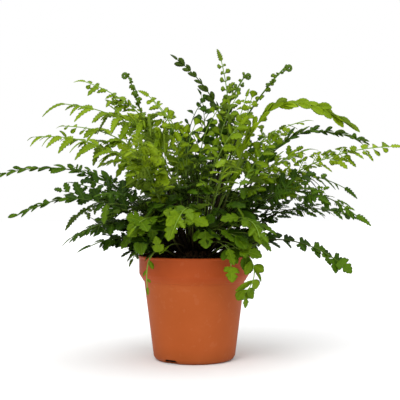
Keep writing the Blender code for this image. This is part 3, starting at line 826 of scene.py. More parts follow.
# Fronds with leaflets of their own kind, by their row in FRONDS
ROW_STYLES = {
    1: {**SWEPT, "tone": 0.54},
    2: {**SWEPT, "tone": 0.42},
    3: {**LOOSE, "droop": 0.40, "compound": 0.026, "tone": 0.58, "grow": 1.25, "blade": "strap"},
    4: {**LOOSE, "droop": 0.42, "tone": 0.60, "sweep": 0.5, "curl": 0.26, "blade": "strap"},
    5: {**LOOSE, "droop": 0.36, "tone": 0.62, "blade_width": 1.0},
    6: {"wild": 1.6, "droop": 0.30, "compound": 0.020, "sweep": 0.4, "curl": 0.22},
    7: {"sweep": 0.3, "shift": (0.004, 0.0065)},
    9: {"blade": "broad", "leaf": "broad", "width": 1.25, "tone": 0.78, "facing": 1.1, "droop": 0.16,
        "extra": 1.7, "extra_from": 0.4, "extra_to": 0.95},
    10: {"least": 0.0105, "small_kind": "oval", "small_width": 0.66, "single": 0.022, "grow": 1.0,
         "tone": 0.30, "sweep": 1.2, "facing": 0.5, "droop": 0.0, "extra": 0.4},
    11: {"least": 0.0060, "tone": 0.55, "wild": 1.6, "small_kind": "small"},
    12: {"shift": (-0.001, 0.0065), "tone": 0.5},
    13: {"shift": (-0.003, 0.0080)},
    14: {"blade": "oval", "compound": 0.030, "blade_width": 0.62, "droop": 0.04, "tone": 0.56,
         "least": 0.016, "facing": 0.2, "lift": 0.02, "grow": 0.9, "extra": 1.8, "extra_to": 0.99,
         "sweep": 2.0, "shift": (-0.005, -0.0085)},
    15: {"compound": 0.030, "blade": "oval", "blade_width": 0.50, "tone": 0.45, "grow": 0.80, "extra": 2.0,
         "extra_from": 0.9, "extra_to": 0.98, "lift": 0.22, "droop": 0.0, "sweep": 1.1, "least": 0.0105},
    16: {"small_kind": "fan", "small_width": 1.05, "single": 0.0125, "leaflet": 0.36, "leaf": "fan",
         "tone": 0.55, "droop": 0.10, "extra": 0.3, "pairs": 3, "least": 0.0088, "grow": 1.25},
    17: {**LAPPED, "tone": 0.46, "sweep": 0.7, "lift": 0.15},
    18: {**LAPPED, "tone": 0.42, "sweep": 0.6, "lift": 0.12},
    20: {**MAPLE, "blade_width": 1.0, "single": 0.007, "tone": 0.46, "grow": 0.75, "extra": 0.0, "skip": 1,
         "facing": 1.1, "end": "maple", "least": 0.0155, "sweep": 0.4},
    21: {**SIMPLE, "small_width": 0.92, "grow": 1.0, "tone": 0.45, "extra": 0.45, "facing": 1.2,
         "end": "maple", "least": 0.0150, "wild": 0.5, "extra_from": 1.0, "extra_to": 0.9,
         "shift": (-0.011, 0.003)},
    22: {"tone": 0.48, "sweep": 0.8, "compound": 0.024},
    23: {"tone": 0.45, "sweep": 0.5},
    24: {"tone": 0.42, "sweep": 0.5},
    25: {**SIMPLE, "small_width": 0.60, "grow": 0.8, "end": "blade"},
    26: {**MAPLE, "thick": 0.6, "tone": 0.50, "extra": 0.0, "blade_width": 0.9},
    27: {**MAPLE, "thick": 0.6, "tone": 0.12, "extra": 0.2, "blade_width": 0.85, "least": 0.013,
         "grow": 0.85},
    28: {**LIGHT, "tone": 0.75, "facing": 0.8, "extra": 0.6},
    29: {**LIGHT, "tone": 0.80, "facing": 0.7, "extra": 1.0},
    33: {"facing": 0.7, "blade": "broad", "tone": 0.45},
    34: {**MAPLE, "facing": 0.8, "tone": 0.40, "least": 0.014},
    35: {**SIMPLE, "small_width": 0.9, "end": "maple"},
    36: {**MAPLE, "facing": 0.8, "tone": 0.45, "extra": 0.3},
    37: LOBED,
    38: LOBED,
    50: {"shift": (0.0, 0.0050)},
    51: {"blade": "broad"},
}


FOLD_SPREAD = 55.0


def extra_pinnae(stem, pinnae, style, rng):
    """More leaves between the solid pinnae and below them, where the plant is dense."""
    sided = [pinna for pinna in pinnae if pinna.side]
    if not sided:
        return []
    count = round(len(sided) * style["extra"])
    low, high = stem.blade_start * style["extra_from"], stem.length * style["extra_to"]
    found = []
    for k in range(count):
        distance = low + (high - low) * (k + rng.uniform(0.1, 0.9)) / count
        near = min(sided, key=lambda pinna: abs(pinna.distance - distance))
        length = near.length * rng.uniform(0.70, 1.0)
        side, fold = rng.choice((1, -1)), rng.uniform(-FOLD_SPREAD, FOLD_SPREAD)
        found.append(Pinna(stem, distance, side, length, fold))
    return found


COIL_FULLNESS = 0.74  # the coil's turns are this much of the solid's, to lie against one another
COIL_THIN, COIL_THICKENING = 0.00125, 0.00075
BUDS = 9
BUD_PITCH = 0.0040
BUD_SIZE, BUD_GROWTH = 0.0011, 0.00011
BUD_TURN = 0.85


def add_crozier(builder, stem, rng):
    """The tight coil at a young stem's tip, with rolled-up side branches below it."""
    centres = [sum(section, Vector()) / len(section) for section in stem.coil_sections()]
    start = centres[0]
    side = stem.frame(stem.tube_end)[1]
    path, radii = [stem.at(stem.tube_end - 0.002)], [0.00115]
    for k in range(len(centres) - 1):
        for step in range(3):
            share = (k + step / 3) / (len(centres) - 1)
            path.append(start.lerp(centres[k].lerp(centres[k + 1], step / 3), COIL_FULLNESS))
            radii.append((COIL_THIN + COIL_THICKENING * share) * (1 + 0.13 * math.sin(2.3 * len(path))))
    add_tube(builder, path, radii, [side] * len(path), 8, [0.85] * len(path))
    for k in range(BUDS):
        distance = stem.tube_end - 0.0015 - BUD_PITCH * k
        tangent, left, normal = stem.frame(distance)
        out = (left * (-1) ** k + tangent * 0.3 + normal * rng.gauss(0, 0.5)).normalized()
        size = BUD_SIZE + BUD_GROWTH * k
        root = stem.at(distance) + out * 0.0008
        add_bud(builder, root, out, tangent, size, rng)
        for _ in range(4):
            turn = out + tangent * rng.uniform(-0.3, 1.3) + normal * rng.gauss(0, 0.7)
            end = root + turn * size * 1.8
            add_leaf(builder, "small", root, end, left, 1.1, 0.15, vary(rng, 0.30, 0.1))


def add_bud(builder, root, out, up, size, rng):
    """A side branch that is still rolled up, on a short stalk."""
    reach = size * rng.uniform(0.6, 1.4)
    centre = root + out * (reach + size) + up * size
    side = out.cross(up).normalized()
    path = [root, root + out * reach * 0.6]
    radii = [size * 0.35, size * 0.45]
    for k in range(9):
        angle = -math.pi / 2 + k * BUD_TURN
        radius = size * (1 - 0.085 * k)
        path.append(centre + (out * math.cos(angle) + up * math.sin(angle)) * radius)
        radii.append(size * (0.62 - 0.012 * k))
    add_tube(builder, path, radii, [side] * len(path), 6, [0.9] * len(path))


STEM_STEP = 0.006


def dress_frond(name, row, stem, pinnae, materials, rng):
    """One frond: its stem, with its coil where it has one, and the leaves of its pinnae."""
    style = {**STYLES[stem.kind], **ROW_STYLES.get(row, {})}
    style["tone"] += rng.uniform(-0.08, 0.08)
    builder = Builder(name, materials)
    steps = max(int(stem.tube_end / STEM_STEP), 8)
    places = [stem.tube_end * k / steps for k in range(steps + 1)]
    path = [stem.at(place) for place in places]
    path[0] = path[0] - (path[1] - path[0]).normalized() * ROOT_SUNK
    normals = [stem.frame(place)[2] for place in places]
    radii = [stem.radius(place) * style["thick"] for place in places]
    add_tube(builder, path, radii, normals, 8, [place / stem.length for place in places])
    if stem.kind == "coiled":
        add_crozier(builder, stem, rng)
    end_style = {**style, "blade": style["end"], "compound": 0.030, "single": 0.0}
    for number, pinna in enumerate(pinnae):
        if pinna.side == 0:
            dress_pinna(builder, stem, pinna, end_style, rng)
        elif number % (2 * style["skip"]) < 2:
            dress_pinna(builder, stem, pinna, style, rng)
    for pinna in extra_pinnae(stem, pinnae, style, rng):
        dress_pinna(builder, stem, pinna, style, rng)
    if any(style["shift"]):
        stretch(builder, stem.at(0).z, stem.at(stem.tube_end).z, style["shift"])
    return builder.make()


def stretch(builder, low, high, shift):
    """Moves the points between two heights across and up, the highest ones most."""
    for points in builder.points:
        share = np.clip((points[:, 2] - low) / (high - low), 0, 1) ** 2
        points[:, 0] += shift[0] * share
        points[:, 2] += shift[1] * share


# Low leaves round the rim in front: base and tip in millimetres, kind, width and tone
RIM_LEAVES = [
    (-9, -84, 154, 14, -92, 145, "maple", 1.15, 0.40), (-10, -84, 153, -30, -88, 158, "maple", 1.05, 0.38),
    (-19, -84, 150, -25, -90, 130, "broad", 1.15, 0.36), (11, -70, 140, 12, -76, 122, "maple", 1.15, 0.13),
    (17, -70, 139, 26, -74, 130, "oval", 0.75, 0.10), (5, -70, 140, 0, -73, 129, "oval", 0.75, 0.03),
    (45, -72, 153, 26, -78, 150, "broad", 1.0, 0.18), (50, -74, 152, 43, -80, 162, "short", 1.0, 0.28),
    (54, -74, 152, 66, -82, 126, "broad", 1.0, 0.30), (42, -62, 134, 52, -68, 121, "oval", 1.25, 0.03),
    (44, -62, 121, 68, -66, 113, "maple", 1.05, 0.18), (34, -66, 121, 40, -70, 105, "broad", 1.1, 0.18),
    (27, -66, 140, 40, -70, 128, "broad", 1.1, 0.03), (-50, -66, 143, -66, -72, 134, "maple", 1.2, 0.23),
    (-56, -56, 134, -52, -62, 115, "oval", 1.2, 0.03), (-60, -48, 140, -74, -52, 120, "broad", 1.1, 0.03),
    (-44, -56, 146, -40, -60, 126, "broad", 1.1, 0.03), (-34, -68, 116, -38, -70, 134, "maple", 0.85, 0.43),
    (-33, -68, 117, -25, -71, 124, "short", 0.9, 0.43), (-88, -58, 166, -90, -66, 146, "broad", 1.2, 0.08),
    (-74, -52, 160, -90, -58, 150, "broad", 1.1, 0.13), (62, -52, 134, 78, -56, 118, "maple", 1.0, 0.08),
    (66, -46, 146, 84, -50, 134, "broad", 1.0, 0.03),
]
LOW_LEAF_COUNT = 150
BACK_LEAF_COUNT = 95
GOLDEN_SHARE = 0.618034  # of a turn between leaves, so that they spread evenly
FOOT_SHARE = 0.97
STALK_THINNING = 0.00003
# Least and most, in metres, of the scattered leaves' distance from the axis, height and length
LOW_REACH, LOW_LIFT, LOW_SIZE = (0.022, 0.075), (0.012, 0.075), (0.013, 0.024)
BACK_REACH, BACK_LIFT, BACK_SIZE = (0.034, 0.056), (0.001, 0.016), (0.014, 0.023)
LOW_WIDTH = (1.0, 1.25)
FRONT_LIFT = 0.022  # how much higher the lowest leaves start in front, where the rim is seen
WIDE_REACH = 0.055


def crown_foot(towards, spread):
    """Where a stalk leaves the crown, just inside its skin."""
    return CROWN_CENTRE + (outward(towards) * spread + UP).normalized() * CROWN_RADIUS * FOOT_SHARE


def add_stalk(builder, path, thickest, normal, sides, tones):
    """A stalk that thins from point to point of its path."""
    count = len(path)
    radii = [thickest - STALK_THINNING * k for k in range(count)]
    add_tube(builder, path, radii, [normal] * count, sides, tones)


def add_low_leaf(builder, root, tip, kind, width, tone, rng):
    """A leaf on its own curved stalk from the crown."""
    foot = crown_foot(root, 0.55 / 0.8)
    middle = foot.lerp(root, 0.5) + UP * 0.14 * (root - foot).length
    path = bowed(foot, middle, root, 8)
    add_stalk(builder, path, 0.0006, UP, 5, [0.06 * k for k in range(9)])
    along = tip - root
    normal = (UP + outward(root) * 0.9 - along.normalized() * 0.2).normalized()
    normal = turned_normal(normal, along, rng.gauss(0, 0.15))
    add_leaf(builder, kind, root, tip, normal, width, LEAF_CURL, tone)


def make_low_leaves(materials, rng):
    """Short leaves that fill the plant's foot: the placed ones in front, the rest scattered."""
    front = Builder("low_leaves_front", materials["young"])
    for *ends, kind, width, tone in RIM_LEAVES:
        root, tip = Vector(ends[:3]) / 1000, Vector(ends[3:]) / 1000
        add_low_leaf(front, root, tip, kind, width, tone, rng)
    around = Builder("low_leaves_around", materials["mature"])
    for k in range(LOW_LEAF_COUNT):
        facing = heading(360 * (k * GOLDEN_SHARE % 1) + rng.uniform(-4, 4))
        front_share = max(0.0, -facing.y - 0.70) / 0.30
        reach = rng.uniform(*LOW_REACH)
        lift = rng.uniform(LOW_LIFT[0] + FRONT_LIFT * front_share, LOW_LIFT[1])
        if reach > WIDE_REACH:
            lift *= 0.75
        root = facing * reach + UP * (POT_HEIGHT + lift)
        out = facing + UP.cross(facing) * rng.gauss(0, 0.7)
        out = (out + UP * rng.uniform(-0.7, 0.35)).normalized()
        size = rng.uniform(*LOW_SIZE)
        kind = rng.choice(("maple", "broad", "broad", "short", "oval"))
        width, tone = rng.uniform(*LOW_WIDTH), rng.uniform(0.0, 0.55)
        add_low_leaf(around, root, root + out * size, kind, width, tone, rng)
    for k in range(BACK_LEAF_COUNT):
        facing = heading(-25 + 230 * (k * GOLDEN_SHARE % 1))
        root = facing * rng.uniform(*BACK_REACH) + UP * (POT_HEIGHT + rng.uniform(*BACK_LIFT))
        out = facing * 0.7 + UP.cross(facing) * rng.gauss(0, 1.1)
        out = (out + UP * rng.uniform(-0.2, 0.5)).normalized()
        kind = rng.choice(("maple", "broad", "oval"))
        size = rng.uniform(*BACK_SIZE)
        width, tone = rng.uniform(*LOW_WIDTH), rng.uniform(0.0, 0.35)
        add_low_leaf(around, root, root + out * size, kind, width, tone, rng)
    ride_as(front.make())
    ride_as(around.make())


# Thin young fronds with few leaflets: tip, leaflet kind and length, in millimetres, and tone
SPRAYS = {
    "young": [
        (45, -10, 280, "fan", 10.5, 0.55), (60, -20, 276, "fan", 10.5, 0.60),
        (29, -20, 270, "fan", 9.5, 0.50), (48, -42, 248, "broad", 12.0, 0.55),
        (67, -30, 250, "fan", 11.0, 0.60), (0, -34, 246, "fan", 11.0, 0.55),
        (-10, -44, 240, "broad", 12.0, 0.65), (-42, -30, 272, "fan", 9.5, 0.60),
        (-56, -20, 262, "fan", 9.5, 0.60), (80, -45, 230, "broad", 11.0, 0.50),
        (92, -22, 238, "fan", 10.0, 0.55), (106, -30, 222, "broad", 11.0, 0.45),
        (-34, -46, 238, "broad", 13.0, 0.75), (20, -52, 226, "broad", 12.0, 0.50),
        (-70, -44, 232, "broad", 13.0, 0.70),
    ],
    "mature": [
        (8, 20, 284, "fan", 11.5, 0.20), (14, 10, 262, "fan", 11.5, 0.22), (28, 0, 248, "fan", 11.0, 0.30),
        (6, -6, 272, "fan", 10.0, 0.18), (36, 14, 262, "fan", 10.5, 0.30), (-4, 10, 244, "fan", 11.0, 0.25),
        (70, 10, 236, "broad", 12.0, 0.25), (-30, 20, 246, "fan", 10.5, 0.35),
        (-20, 50, 250, "fan", 10.5, 0.40), (20, 60, 240, "fan", 10.5, 0.35),
        (-140, -25, 180, "broad", 14.0, 0.32), (-122, -38, 172, "broad", 15.0, 0.28),
        (-108, -20, 190, "broad", 14.0, 0.25), (-128, -8, 188, "short", 13.0, 0.38),
        (116, -30, 196, "broad", 13.0, 0.35),
    ],
}
SPRAY_STEPS = 14
SPRAY_LEAVES = 7


def add_spray(builder, tip, kind, size, tone, rng):
    """A thin frond from the crown to its tip, with leaflets in turn on its two sides."""
    flat = outward(tip)
    foot = crown_foot(tip, 0.5 / 0.85)
    middle = foot.lerp(tip, 0.55) + UP * 0.06 * (tip - foot).length - flat * 0.006
    middle += Vector((rng.uniform(-0.012, 0.012), rng.uniform(-0.008, 0.008), 0))
    path = bowed(foot, middle, tip, SPRAY_STEPS)
    facing = (flat * 0.4 + Vector((0, -0.7, 0.6))).normalized()
    add_stalk(builder, path, 0.0008, facing, 6, [0.3 + 0.04 * k for k in range(SPRAY_STEPS + 1)])
    for k in range(SPRAY_LEAVES + 1):
        share = 0.58 + 0.42 * k / SPRAY_LEAVES + rng.uniform(-0.02, 0.02)
        point, along = along_path(path, min(share, 0.999))
        across = facing.cross(along).normalized() * (1 if k % 2 else -1)
        lean = 0.0 if k == SPRAY_LEAVES else 1.1
        out = (along * 0.75 + across * lean + facing * rng.gauss(0, 0.25)).normalized()
        reach = size * rng.uniform(0.75, 1.3) * (1.15 - 0.35 * k / SPRAY_LEAVES)
        face = turned_normal(facing, out, rng.gauss(0, 0.45))
        # the tone, with painted shade where the leaflet sits deep inside the plant
        shade = shaded(vary(rng, tone, 0.07), point)
        add_leaf(builder, kind, point, point + out * reach, face, 1.0, LEAF_CURL, shade)


def make_sprays(materials, rng):
    """The thin fronds of each kind as one piece."""
    for kind, rows in SPRAYS.items():
        builder = Builder(f"{kind}_sprays", materials[kind])
        for *tip, leaf, size, tone in rows:
            add_spray(builder, Vector(tip) / 1000, leaf, size / 1000, tone, rng)
        ride_as(builder.make())


# ---------------------------------------------------------------- materials

# Colour stops of each material: position, red, green, blue
STOPS = {
    "terracotta_plastic": [
        (0.30, 0.37, 0.072, 0.010), (0.55, 0.40, 0.080, 0.013), (0.75, 0.43, 0.092, 0.018),
    ],
    "peat": [(0.30, 0.006, 0.004, 0.003), (0.55, 0.022, 0.014, 0.009), (0.75, 0.06, 0.038, 0.022)],
    "peat_crumb": [(0.25, 0.015, 0.010, 0.006), (0.55, 0.05, 0.032, 0.018), (0.8, 0.16, 0.11, 0.06)],
    "rhizome_fibre": [(0.25, 0.02, 0.011, 0.006), (0.55, 0.07, 0.038, 0.018), (0.8, 0.17, 0.10, 0.045)],
    "mature_leaf": [
        (0.0, 0.016, 0.044, 0.0015), (0.35, 0.041, 0.100, 0.002), (0.7, 0.105, 0.205, 0.003),
        (1.0, 0.18, 0.30, 0.005),
    ],
    "young_leaf": [
        (0.0, 0.070, 0.150, 0.002), (0.4, 0.150, 0.255, 0.003), (0.7, 0.245, 0.370, 0.006),
        (1.0, 0.37, 0.51, 0.014),
    ],
    "mature_leaf_under": [(0.0, 0.035, 0.070, 0.006), (0.5, 0.080, 0.140, 0.012), (1.0, 0.15, 0.23, 0.025)],
    "young_leaf_under": [(0.0, 0.090, 0.165, 0.010), (0.5, 0.17, 0.27, 0.018), (1.0, 0.27, 0.38, 0.03)],
    "brown_stem": [
        (0.0, 0.008, 0.005, 0.003), (0.35, 0.022, 0.016, 0.006), (0.70, 0.045, 0.075, 0.010),
        (1.0, 0.10, 0.19, 0.015),
    ],
    "green_stem": [
        (0.0, 0.010, 0.007, 0.003), (0.14, 0.030, 0.022, 0.008), (0.40, 0.13, 0.20, 0.025),
        (1.0, 0.20, 0.34, 0.04),
    ],
}
# What the pot's colour and the peat's are multiplied by, from the pot's base to its rim
POT_TINT = [
    (0.0, 0.78, 0.86, 0.95), (0.16, 0.96, 1.0, 1.05), (0.72, 0.96, 1.0, 1.05), (0.80, 0.89, 0.73, 0.63),
]
# Painted shade on the peat: near black deep in the pot, where the drain slots look in, full colour from 0.8
# of the pot's height up
PAINTED_SHADE_TINT = [(0.08, 0.02, 0.02, 0.02), (0.8, 1, 1, 1)]
SCUFF_COLOUR = (0.55, 0.24, 0.12)
VEIN_SHARE = 0.28
LIGHT_THROUGH = (1.0, 0.95, 0.5)


def node_material(name, gloss=0.10):
    """A new material, its node tree, its shader and its output."""
    made = bpy.data.materials.new(name)
    made.use_nodes = True
    tree = made.node_tree
    shader = tree.nodes["Principled BSDF"]
    shader.inputs["Specular IOR Level"].default_value = gloss
    return made, tree, shader, tree.nodes["Material Output"]


def plug(tree, value, socket):
    """Links an output to the socket, or sets the socket to a number or a colour."""
    if isinstance(value, tuple):
        socket.default_value = (*value, 1.0)
    elif isinstance(value, (int, float)):
        socket.default_value = value
    else:
        tree.links.new(value, socket)


def ramp(tree, source, stops):
    """The colour that the stops give for the source."""
    node = tree.nodes.new("ShaderNodeValToRGB")
    elements = node.color_ramp.elements
    while len(elements) < len(stops):
        elements.new(0.5)
    for element, (position, *colour) in zip(elements, stops):
        element.position = position
        element.color = (*colour, 1.0)
    plug(tree, source, node.inputs["Fac"])
    return node.outputs["Color"]


def attribute(tree, name, output):
    """What a mesh attribute holds."""
    node = tree.nodes.new("ShaderNodeAttribute")
    node.attribute_name = name
    return node.outputs[output]


def split(tree, vector):
    """The outputs X, Y and Z of a vector."""
    node = tree.nodes.new("ShaderNodeSeparateXYZ")
    plug(tree, vector, node.inputs["Vector"])
    return node.outputs


def object_place(tree):
    """A point's place in the object, in metres."""
    return tree.nodes.new("ShaderNodeTexCoord").outputs["Object"]


def pot_share(tree):
    """A point's height as a share of the pot's."""
    return maths(tree, "DIVIDE", split(tree, object_place(tree))["Z"], POT_HEIGHT)


def noise_node(tree, scale, detail=3.0):
    """Noise from 0 to 1 over the object."""
    node = tree.nodes.new("ShaderNodeTexNoise")
    node.inputs["Scale"].default_value = scale
    node.inputs["Detail"].default_value = detail
    plug(tree, object_place(tree), node.inputs["Vector"])
    return node.outputs["Fac"]


def maths(tree, operation, a, b=0.0):
    """One sum of two values."""
    node = tree.nodes.new("ShaderNodeMath")
    node.operation = operation
    plug(tree, a, node.inputs[0])
    plug(tree, b, node.inputs[1])
    return node.outputs["Value"]


def linear(tree, value, factor, offset):
    """value x factor + offset."""
    return maths(tree, "ADD", maths(tree, "MULTIPLY", value, factor), offset)


def mixed(tree, factor, a, b, blend="MIX"):
    """Colour b blended into colour a."""
    node = tree.nodes.new("ShaderNodeMix")
    node.data_type = "RGBA"
    node.blend_type = blend
    first, second = (s for s in node.inputs if s.type == "RGBA")
    for socket, value in ((node.inputs["Factor"], factor), (first, a), (second, b)):
        plug(tree, value, socket)
    return next(s for s in node.outputs if s.type == "RGBA")


def bump(tree, shader, height, strength, distance):
    """Relief in the shader's normal."""
    node = tree.nodes.new("ShaderNodeBump")
    node.inputs["Strength"].default_value = strength
    node.inputs["Distance"].default_value = distance
    plug(tree, height, node.inputs["Height"])
    plug(tree, node.outputs["Normal"], shader.inputs["Normal"])


def leaf_material(name, vein, roughness, glow):
    """Leaf green that varies from leaflet to leaflet, with veins and a little light through it."""
    made, tree, shader, output = node_material(name)
    mottle = noise_node(tree, 260.0)
    tone = attribute(tree, "tone", "Fac")
    tone = maths(tree, "ADD", tone, maths(tree, "MULTIPLY", maths(tree, "SUBTRACT", mottle, 0.5), 0.45))
    colour = ramp(tree, tone, STOPS[name])
    place = split(tree, attribute(tree, "place", "Vector"))
    x, y = place["X"], maths(tree, "ABSOLUTE", place["Y"])
    rib = linear(tree, y, -22.0, 1.0)
    sideways = maths(tree, "SUBTRACT", x, maths(tree, "MULTIPLY", y, 0.9))
    wave = maths(tree, "SINE", maths(tree, "MULTIPLY", sideways, 52.0))
    side_veins = maths(tree, "MULTIPLY", maths(tree, "SUBTRACT", wave, 0.72), 1.6)
    veins = maths(tree, "MAXIMUM", rib, side_veins)
    veins = maths(tree, "MINIMUM", maths(tree, "MAXIMUM", veins, 0.0), 1.0)
    colour = mixed(tree, maths(tree, "MULTIPLY", veins, VEIN_SHARE), colour, vein)
    plug(tree, colour, shader.inputs["Base Color"])
    plug(tree, linear(tree, mottle, 0.22, roughness - 0.11), shader.inputs["Roughness"])
    bump(tree, shader, maths(tree, "SUBTRACT", mottle, veins), 0.35, 0.0004)
    through = tree.nodes.new("ShaderNodeBsdfTranslucent")
    plug(tree, mixed(tree, 1.0, colour, LIGHT_THROUGH, "MULTIPLY"), through.inputs["Color"])
    mix = tree.nodes.new("ShaderNodeMixShader")
    for value, socket in zip((glow, shader.outputs["BSDF"], through.outputs["BSDF"]), mix.inputs):
        plug(tree, value, socket)
    plug(tree, mix.outputs["Shader"], output.inputs["Surface"])
    return made


def stem_material(name):
    """Stem colour from its dark foot to its green end, with fine lengthwise streaks."""
    made, tree, shader, _ = node_material(name)
    streak = noise_node(tree, 900.0)
    tone = maths(tree, "MULTIPLY", maths(tree, "SUBTRACT", streak, 0.5), 0.3)
    tone = maths(tree, "ADD", attribute(tree, "tone", "Fac"), tone)
    plug(tree, ramp(tree, tone, STOPS[name]), shader.inputs["Base Color"])
    plug(tree, linear(tree, streak, 0.2, 0.35), shader.inputs["Roughness"])
    bump(tree, shader, streak, 0.4, 0.0003)
    return made


def plastic_material(name):
    """Matt terracotta polypropylene: cloudy colour, fine grain, a few scuffs, darker towards the foot."""
    made, tree, shader, _ = node_material(name, 0.16)
    cloud = noise_node(tree, 22.0, 4.0)
    grain = noise_node(tree, 1500.0, 2.0)
    tint = ramp(tree, pot_share(tree), POT_TINT)
    colour = mixed(tree, 1.0, ramp(tree, cloud, STOPS[name]), tint, "MULTIPLY")
    scuffs = maths(tree, "SUBTRACT", noise_node(tree, 160.0, 6.0), 0.62)
    scuffed = maths(tree, "MAXIMUM", maths(tree, "MULTIPLY", scuffs, 4.0), 0.0)
    colour = mixed(tree, maths(tree, "MINIMUM", scuffed, 0.06), colour, SCUFF_COLOUR)
    plug(tree, colour, shader.inputs["Base Color"])
    rough = linear(tree, cloud, 0.14, 0.48)
    plug(tree, linear(tree, grain, 0.08, rough), shader.inputs["Roughness"])
    bump(tree, shader, grain, 0.12, 0.0003)
    return made


def peat_material(name, grain_scale):
    """Crumbs and fibres, with painted shade that makes the peat near black deep in the pot, where the drain
    slots look in.
    """
    made, tree, shader, _ = node_material(name, 0.08)
    grain = noise_node(tree, grain_scale, 6.0)
    # painted shade: the peat multiplied near black deep in the pot
    painted_shade = ramp(tree, pot_share(tree), PAINTED_SHADE_TINT)
    colour = mixed(tree, 1.0, ramp(tree, grain, STOPS[name]), painted_shade, "MULTIPLY")
    plug(tree, colour, shader.inputs["Base Color"])
    plug(tree, linear(tree, grain, 0.2, 0.75), shader.inputs["Roughness"])
    bump(tree, shader, grain, 0.9, 0.0015)
    return made


def leaf_materials():
    """For each kind of frond, the materials of its stem, its leaves' upper sides and undersides."""
    brown, green = stem_material("brown_stem"), stem_material("green_stem")
    mature = [
        leaf_material("mature_leaf", (0.13, 0.22, 0.012), 0.42, 0.18),
        leaf_material("mature_leaf_under", (0.16, 0.22, 0.03), 0.55, 0.18),
    ]
    young = [
        leaf_material("young_leaf", (0.32, 0.46, 0.03), 0.45, 0.25),
        leaf_material("young_leaf_under", (0.29, 0.38, 0.05), 0.55, 0.25),
    ]
    return {"mature": [brown, *mature], "young": [green, *young], "coiled": [brown, *young]}


# ---------------------------------------------------------------- pot, peat and crown


def fine_turned(name, profile, sides, finish):
    """A closed solid of revolution about Z. The profile starts and ends on the axis."""
    built = bmesh.new()
    points = [built.verts.new((radius, 0, height)) for radius, height in profile]
    edges = [built.edges.new(pair) for pair in zip(points, points[1:])]
    bmesh.ops.spin(built, geom=points + edges, axis=(0, 0, 1), cent=(0, 0, 0), angle=2 * math.pi, steps=sides)
    bmesh.ops.remove_doubles(built, verts=built.verts, dist=1e-6)
    bmesh.ops.recalc_face_normals(built, faces=built.faces)
    mesh = bpy.data.meshes.new(name)
    built.to_mesh(mesh)
    built.free()
    mesh.materials.append(finish)
    return put(name, mesh)


def rounded(profile, radius, steps=4):
    """The profile with its inner corners rounded."""
    found = [profile[0]]
    for before, here, after in zip(profile, profile[1:], profile[2:]):
        a, b, c = (Vector(point) for point in (before, here, after))
        cut = min(radius, (a - b).length * 0.45, (c - b).length * 0.45)
        start, end = b + (a - b).normalized() * cut, b + (c - b).normalized() * cut
        found += [tuple(point) for point in quadratic(start, b, end, steps)]
    return found + [profile[-1]]


def applied(obj):
    """Applies the object's modifiers."""
    evaluated = obj.evaluated_get(bpy.context.evaluated_depsgraph_get())
    mesh = bpy.data.meshes.new_from_object(evaluated)
    obj.modifiers.clear()
    obj.data = mesh


def make_fine_pot(finish):
    """The pot with its soft edges, drain slots and shallow dents."""
    outside = [(0, 0.0006), (BASE_RADIUS - 0.014, 0.0006), (BASE_RADIUS - 0.012, 0)]
    outside += arc((BASE_RADIUS - BASE_CORNER, BASE_CORNER), BASE_CORNER, -90, 0, 8)
    shape = [
        outside[-1],
        (WALL_TOP_RADIUS, COLLAR_BOTTOM - 0.0010),
        (WALL_TOP_RADIUS + 0.0013, COLLAR_BOTTOM),
        (WALL_TOP_RADIUS + 0.0015, COLLAR_BOTTOM + 0.0008),
        (collar_radius(CHAMFER_TOP), CHAMFER_TOP),
        (RIM_RADIUS - 0.0006, POT_HEIGHT - 0.0026),
        (RIM_RADIUS, POT_HEIGHT - 0.0018),
        (RIM_RADIUS, POT_HEIGHT - 0.0005),
        (RIM_RADIUS - 0.0006, POT_HEIGHT),
        (RIM_RADIUS - LIP_WIDTH, POT_HEIGHT),
        (RIM_RADIUS - LIP_WIDTH, POT_HEIGHT - LIP_HEIGHT),
        (RIM_RADIUS - WALL, POT_HEIGHT - LIP_HEIGHT - (LIP_WIDTH - WALL)),
        (collar_radius(CHAMFER_TOP) - WALL, CHAMFER_TOP),
        (wall_radius(COLLAR_BOTTOM) - WALL, COLLAR_BOTTOM),
        (BASE_RADIUS - WALL, BASE_CORNER + FLOOR),
        (BASE_RADIUS - BASE_CORNER, FLOOR),
        (0, FLOOR),
    ]
    profile = outside[:-1] + rounded(shape, 0.0011)
    pot = fine_turned("pot", profile, 160, finish)
    cutters = [slot_cutter(SLOT_FIRST_ANGLE + 360 * k / SLOT_COUNT) for k in range(SLOT_COUNT)]
    for cutter in cutters:
        cut = pot.modifiers.new("slot", "BOOLEAN")
        cut.operation = "DIFFERENCE"
        cut.object = cutter
    bpy.context.view_layer.update()
    applied(pot)
    for cutter in cutters:
        bpy.data.objects.remove(cutter, do_unlink=True)
    dent(pot.data)
    pot.data.shade_smooth()
    pot.data.set_sharp_from_angle(angle=math.radians(50))
    ride_as(pot, "nursery_pot")


def slot_cutter(azimuth):
    """A block with rounded upright edges, to cut one drain slot."""
    built = bmesh.new()
    bmesh.ops.create_cube(built, size=1)
    size = (2 * SLOT_DEPTH, SLOT_WIDTH + 0.0015, 2 * SLOT_HEIGHT + 0.0018)
    bmesh.ops.scale(built, verts=built.verts, vec=size)
    ends = [edge for edge in built.edges if abs((edge.verts[0].co - edge.verts[1].co).normalized().x) > 0.9]
    bmesh.ops.bevel(built, geom=ends, offset=0.0011, segments=3, affect="EDGES")
    mesh = bpy.data.meshes.new("slot_cutter")
    built.to_mesh(mesh)
    built.free()
    cutter = put("slot_cutter", mesh)
    cutter.rotation_euler.z = math.radians(azimuth)
    cutter.location = heading(azimuth) * BASE_RADIUS
    return cutter


# Shallow dents in the collar: azimuth and spread in degrees, height, spread and depth in metres
DENTS = [
    (-118, 9, 0.103, 0.010, 0.0009), (-62, 8, 0.102, 0.011, 0.0008), (-90, 22, 0.106, 0.008, -0.0004),
    (30, 12, 0.100, 0.012, 0.0008), (150, 10, 0.104, 0.010, 0.0007),
]


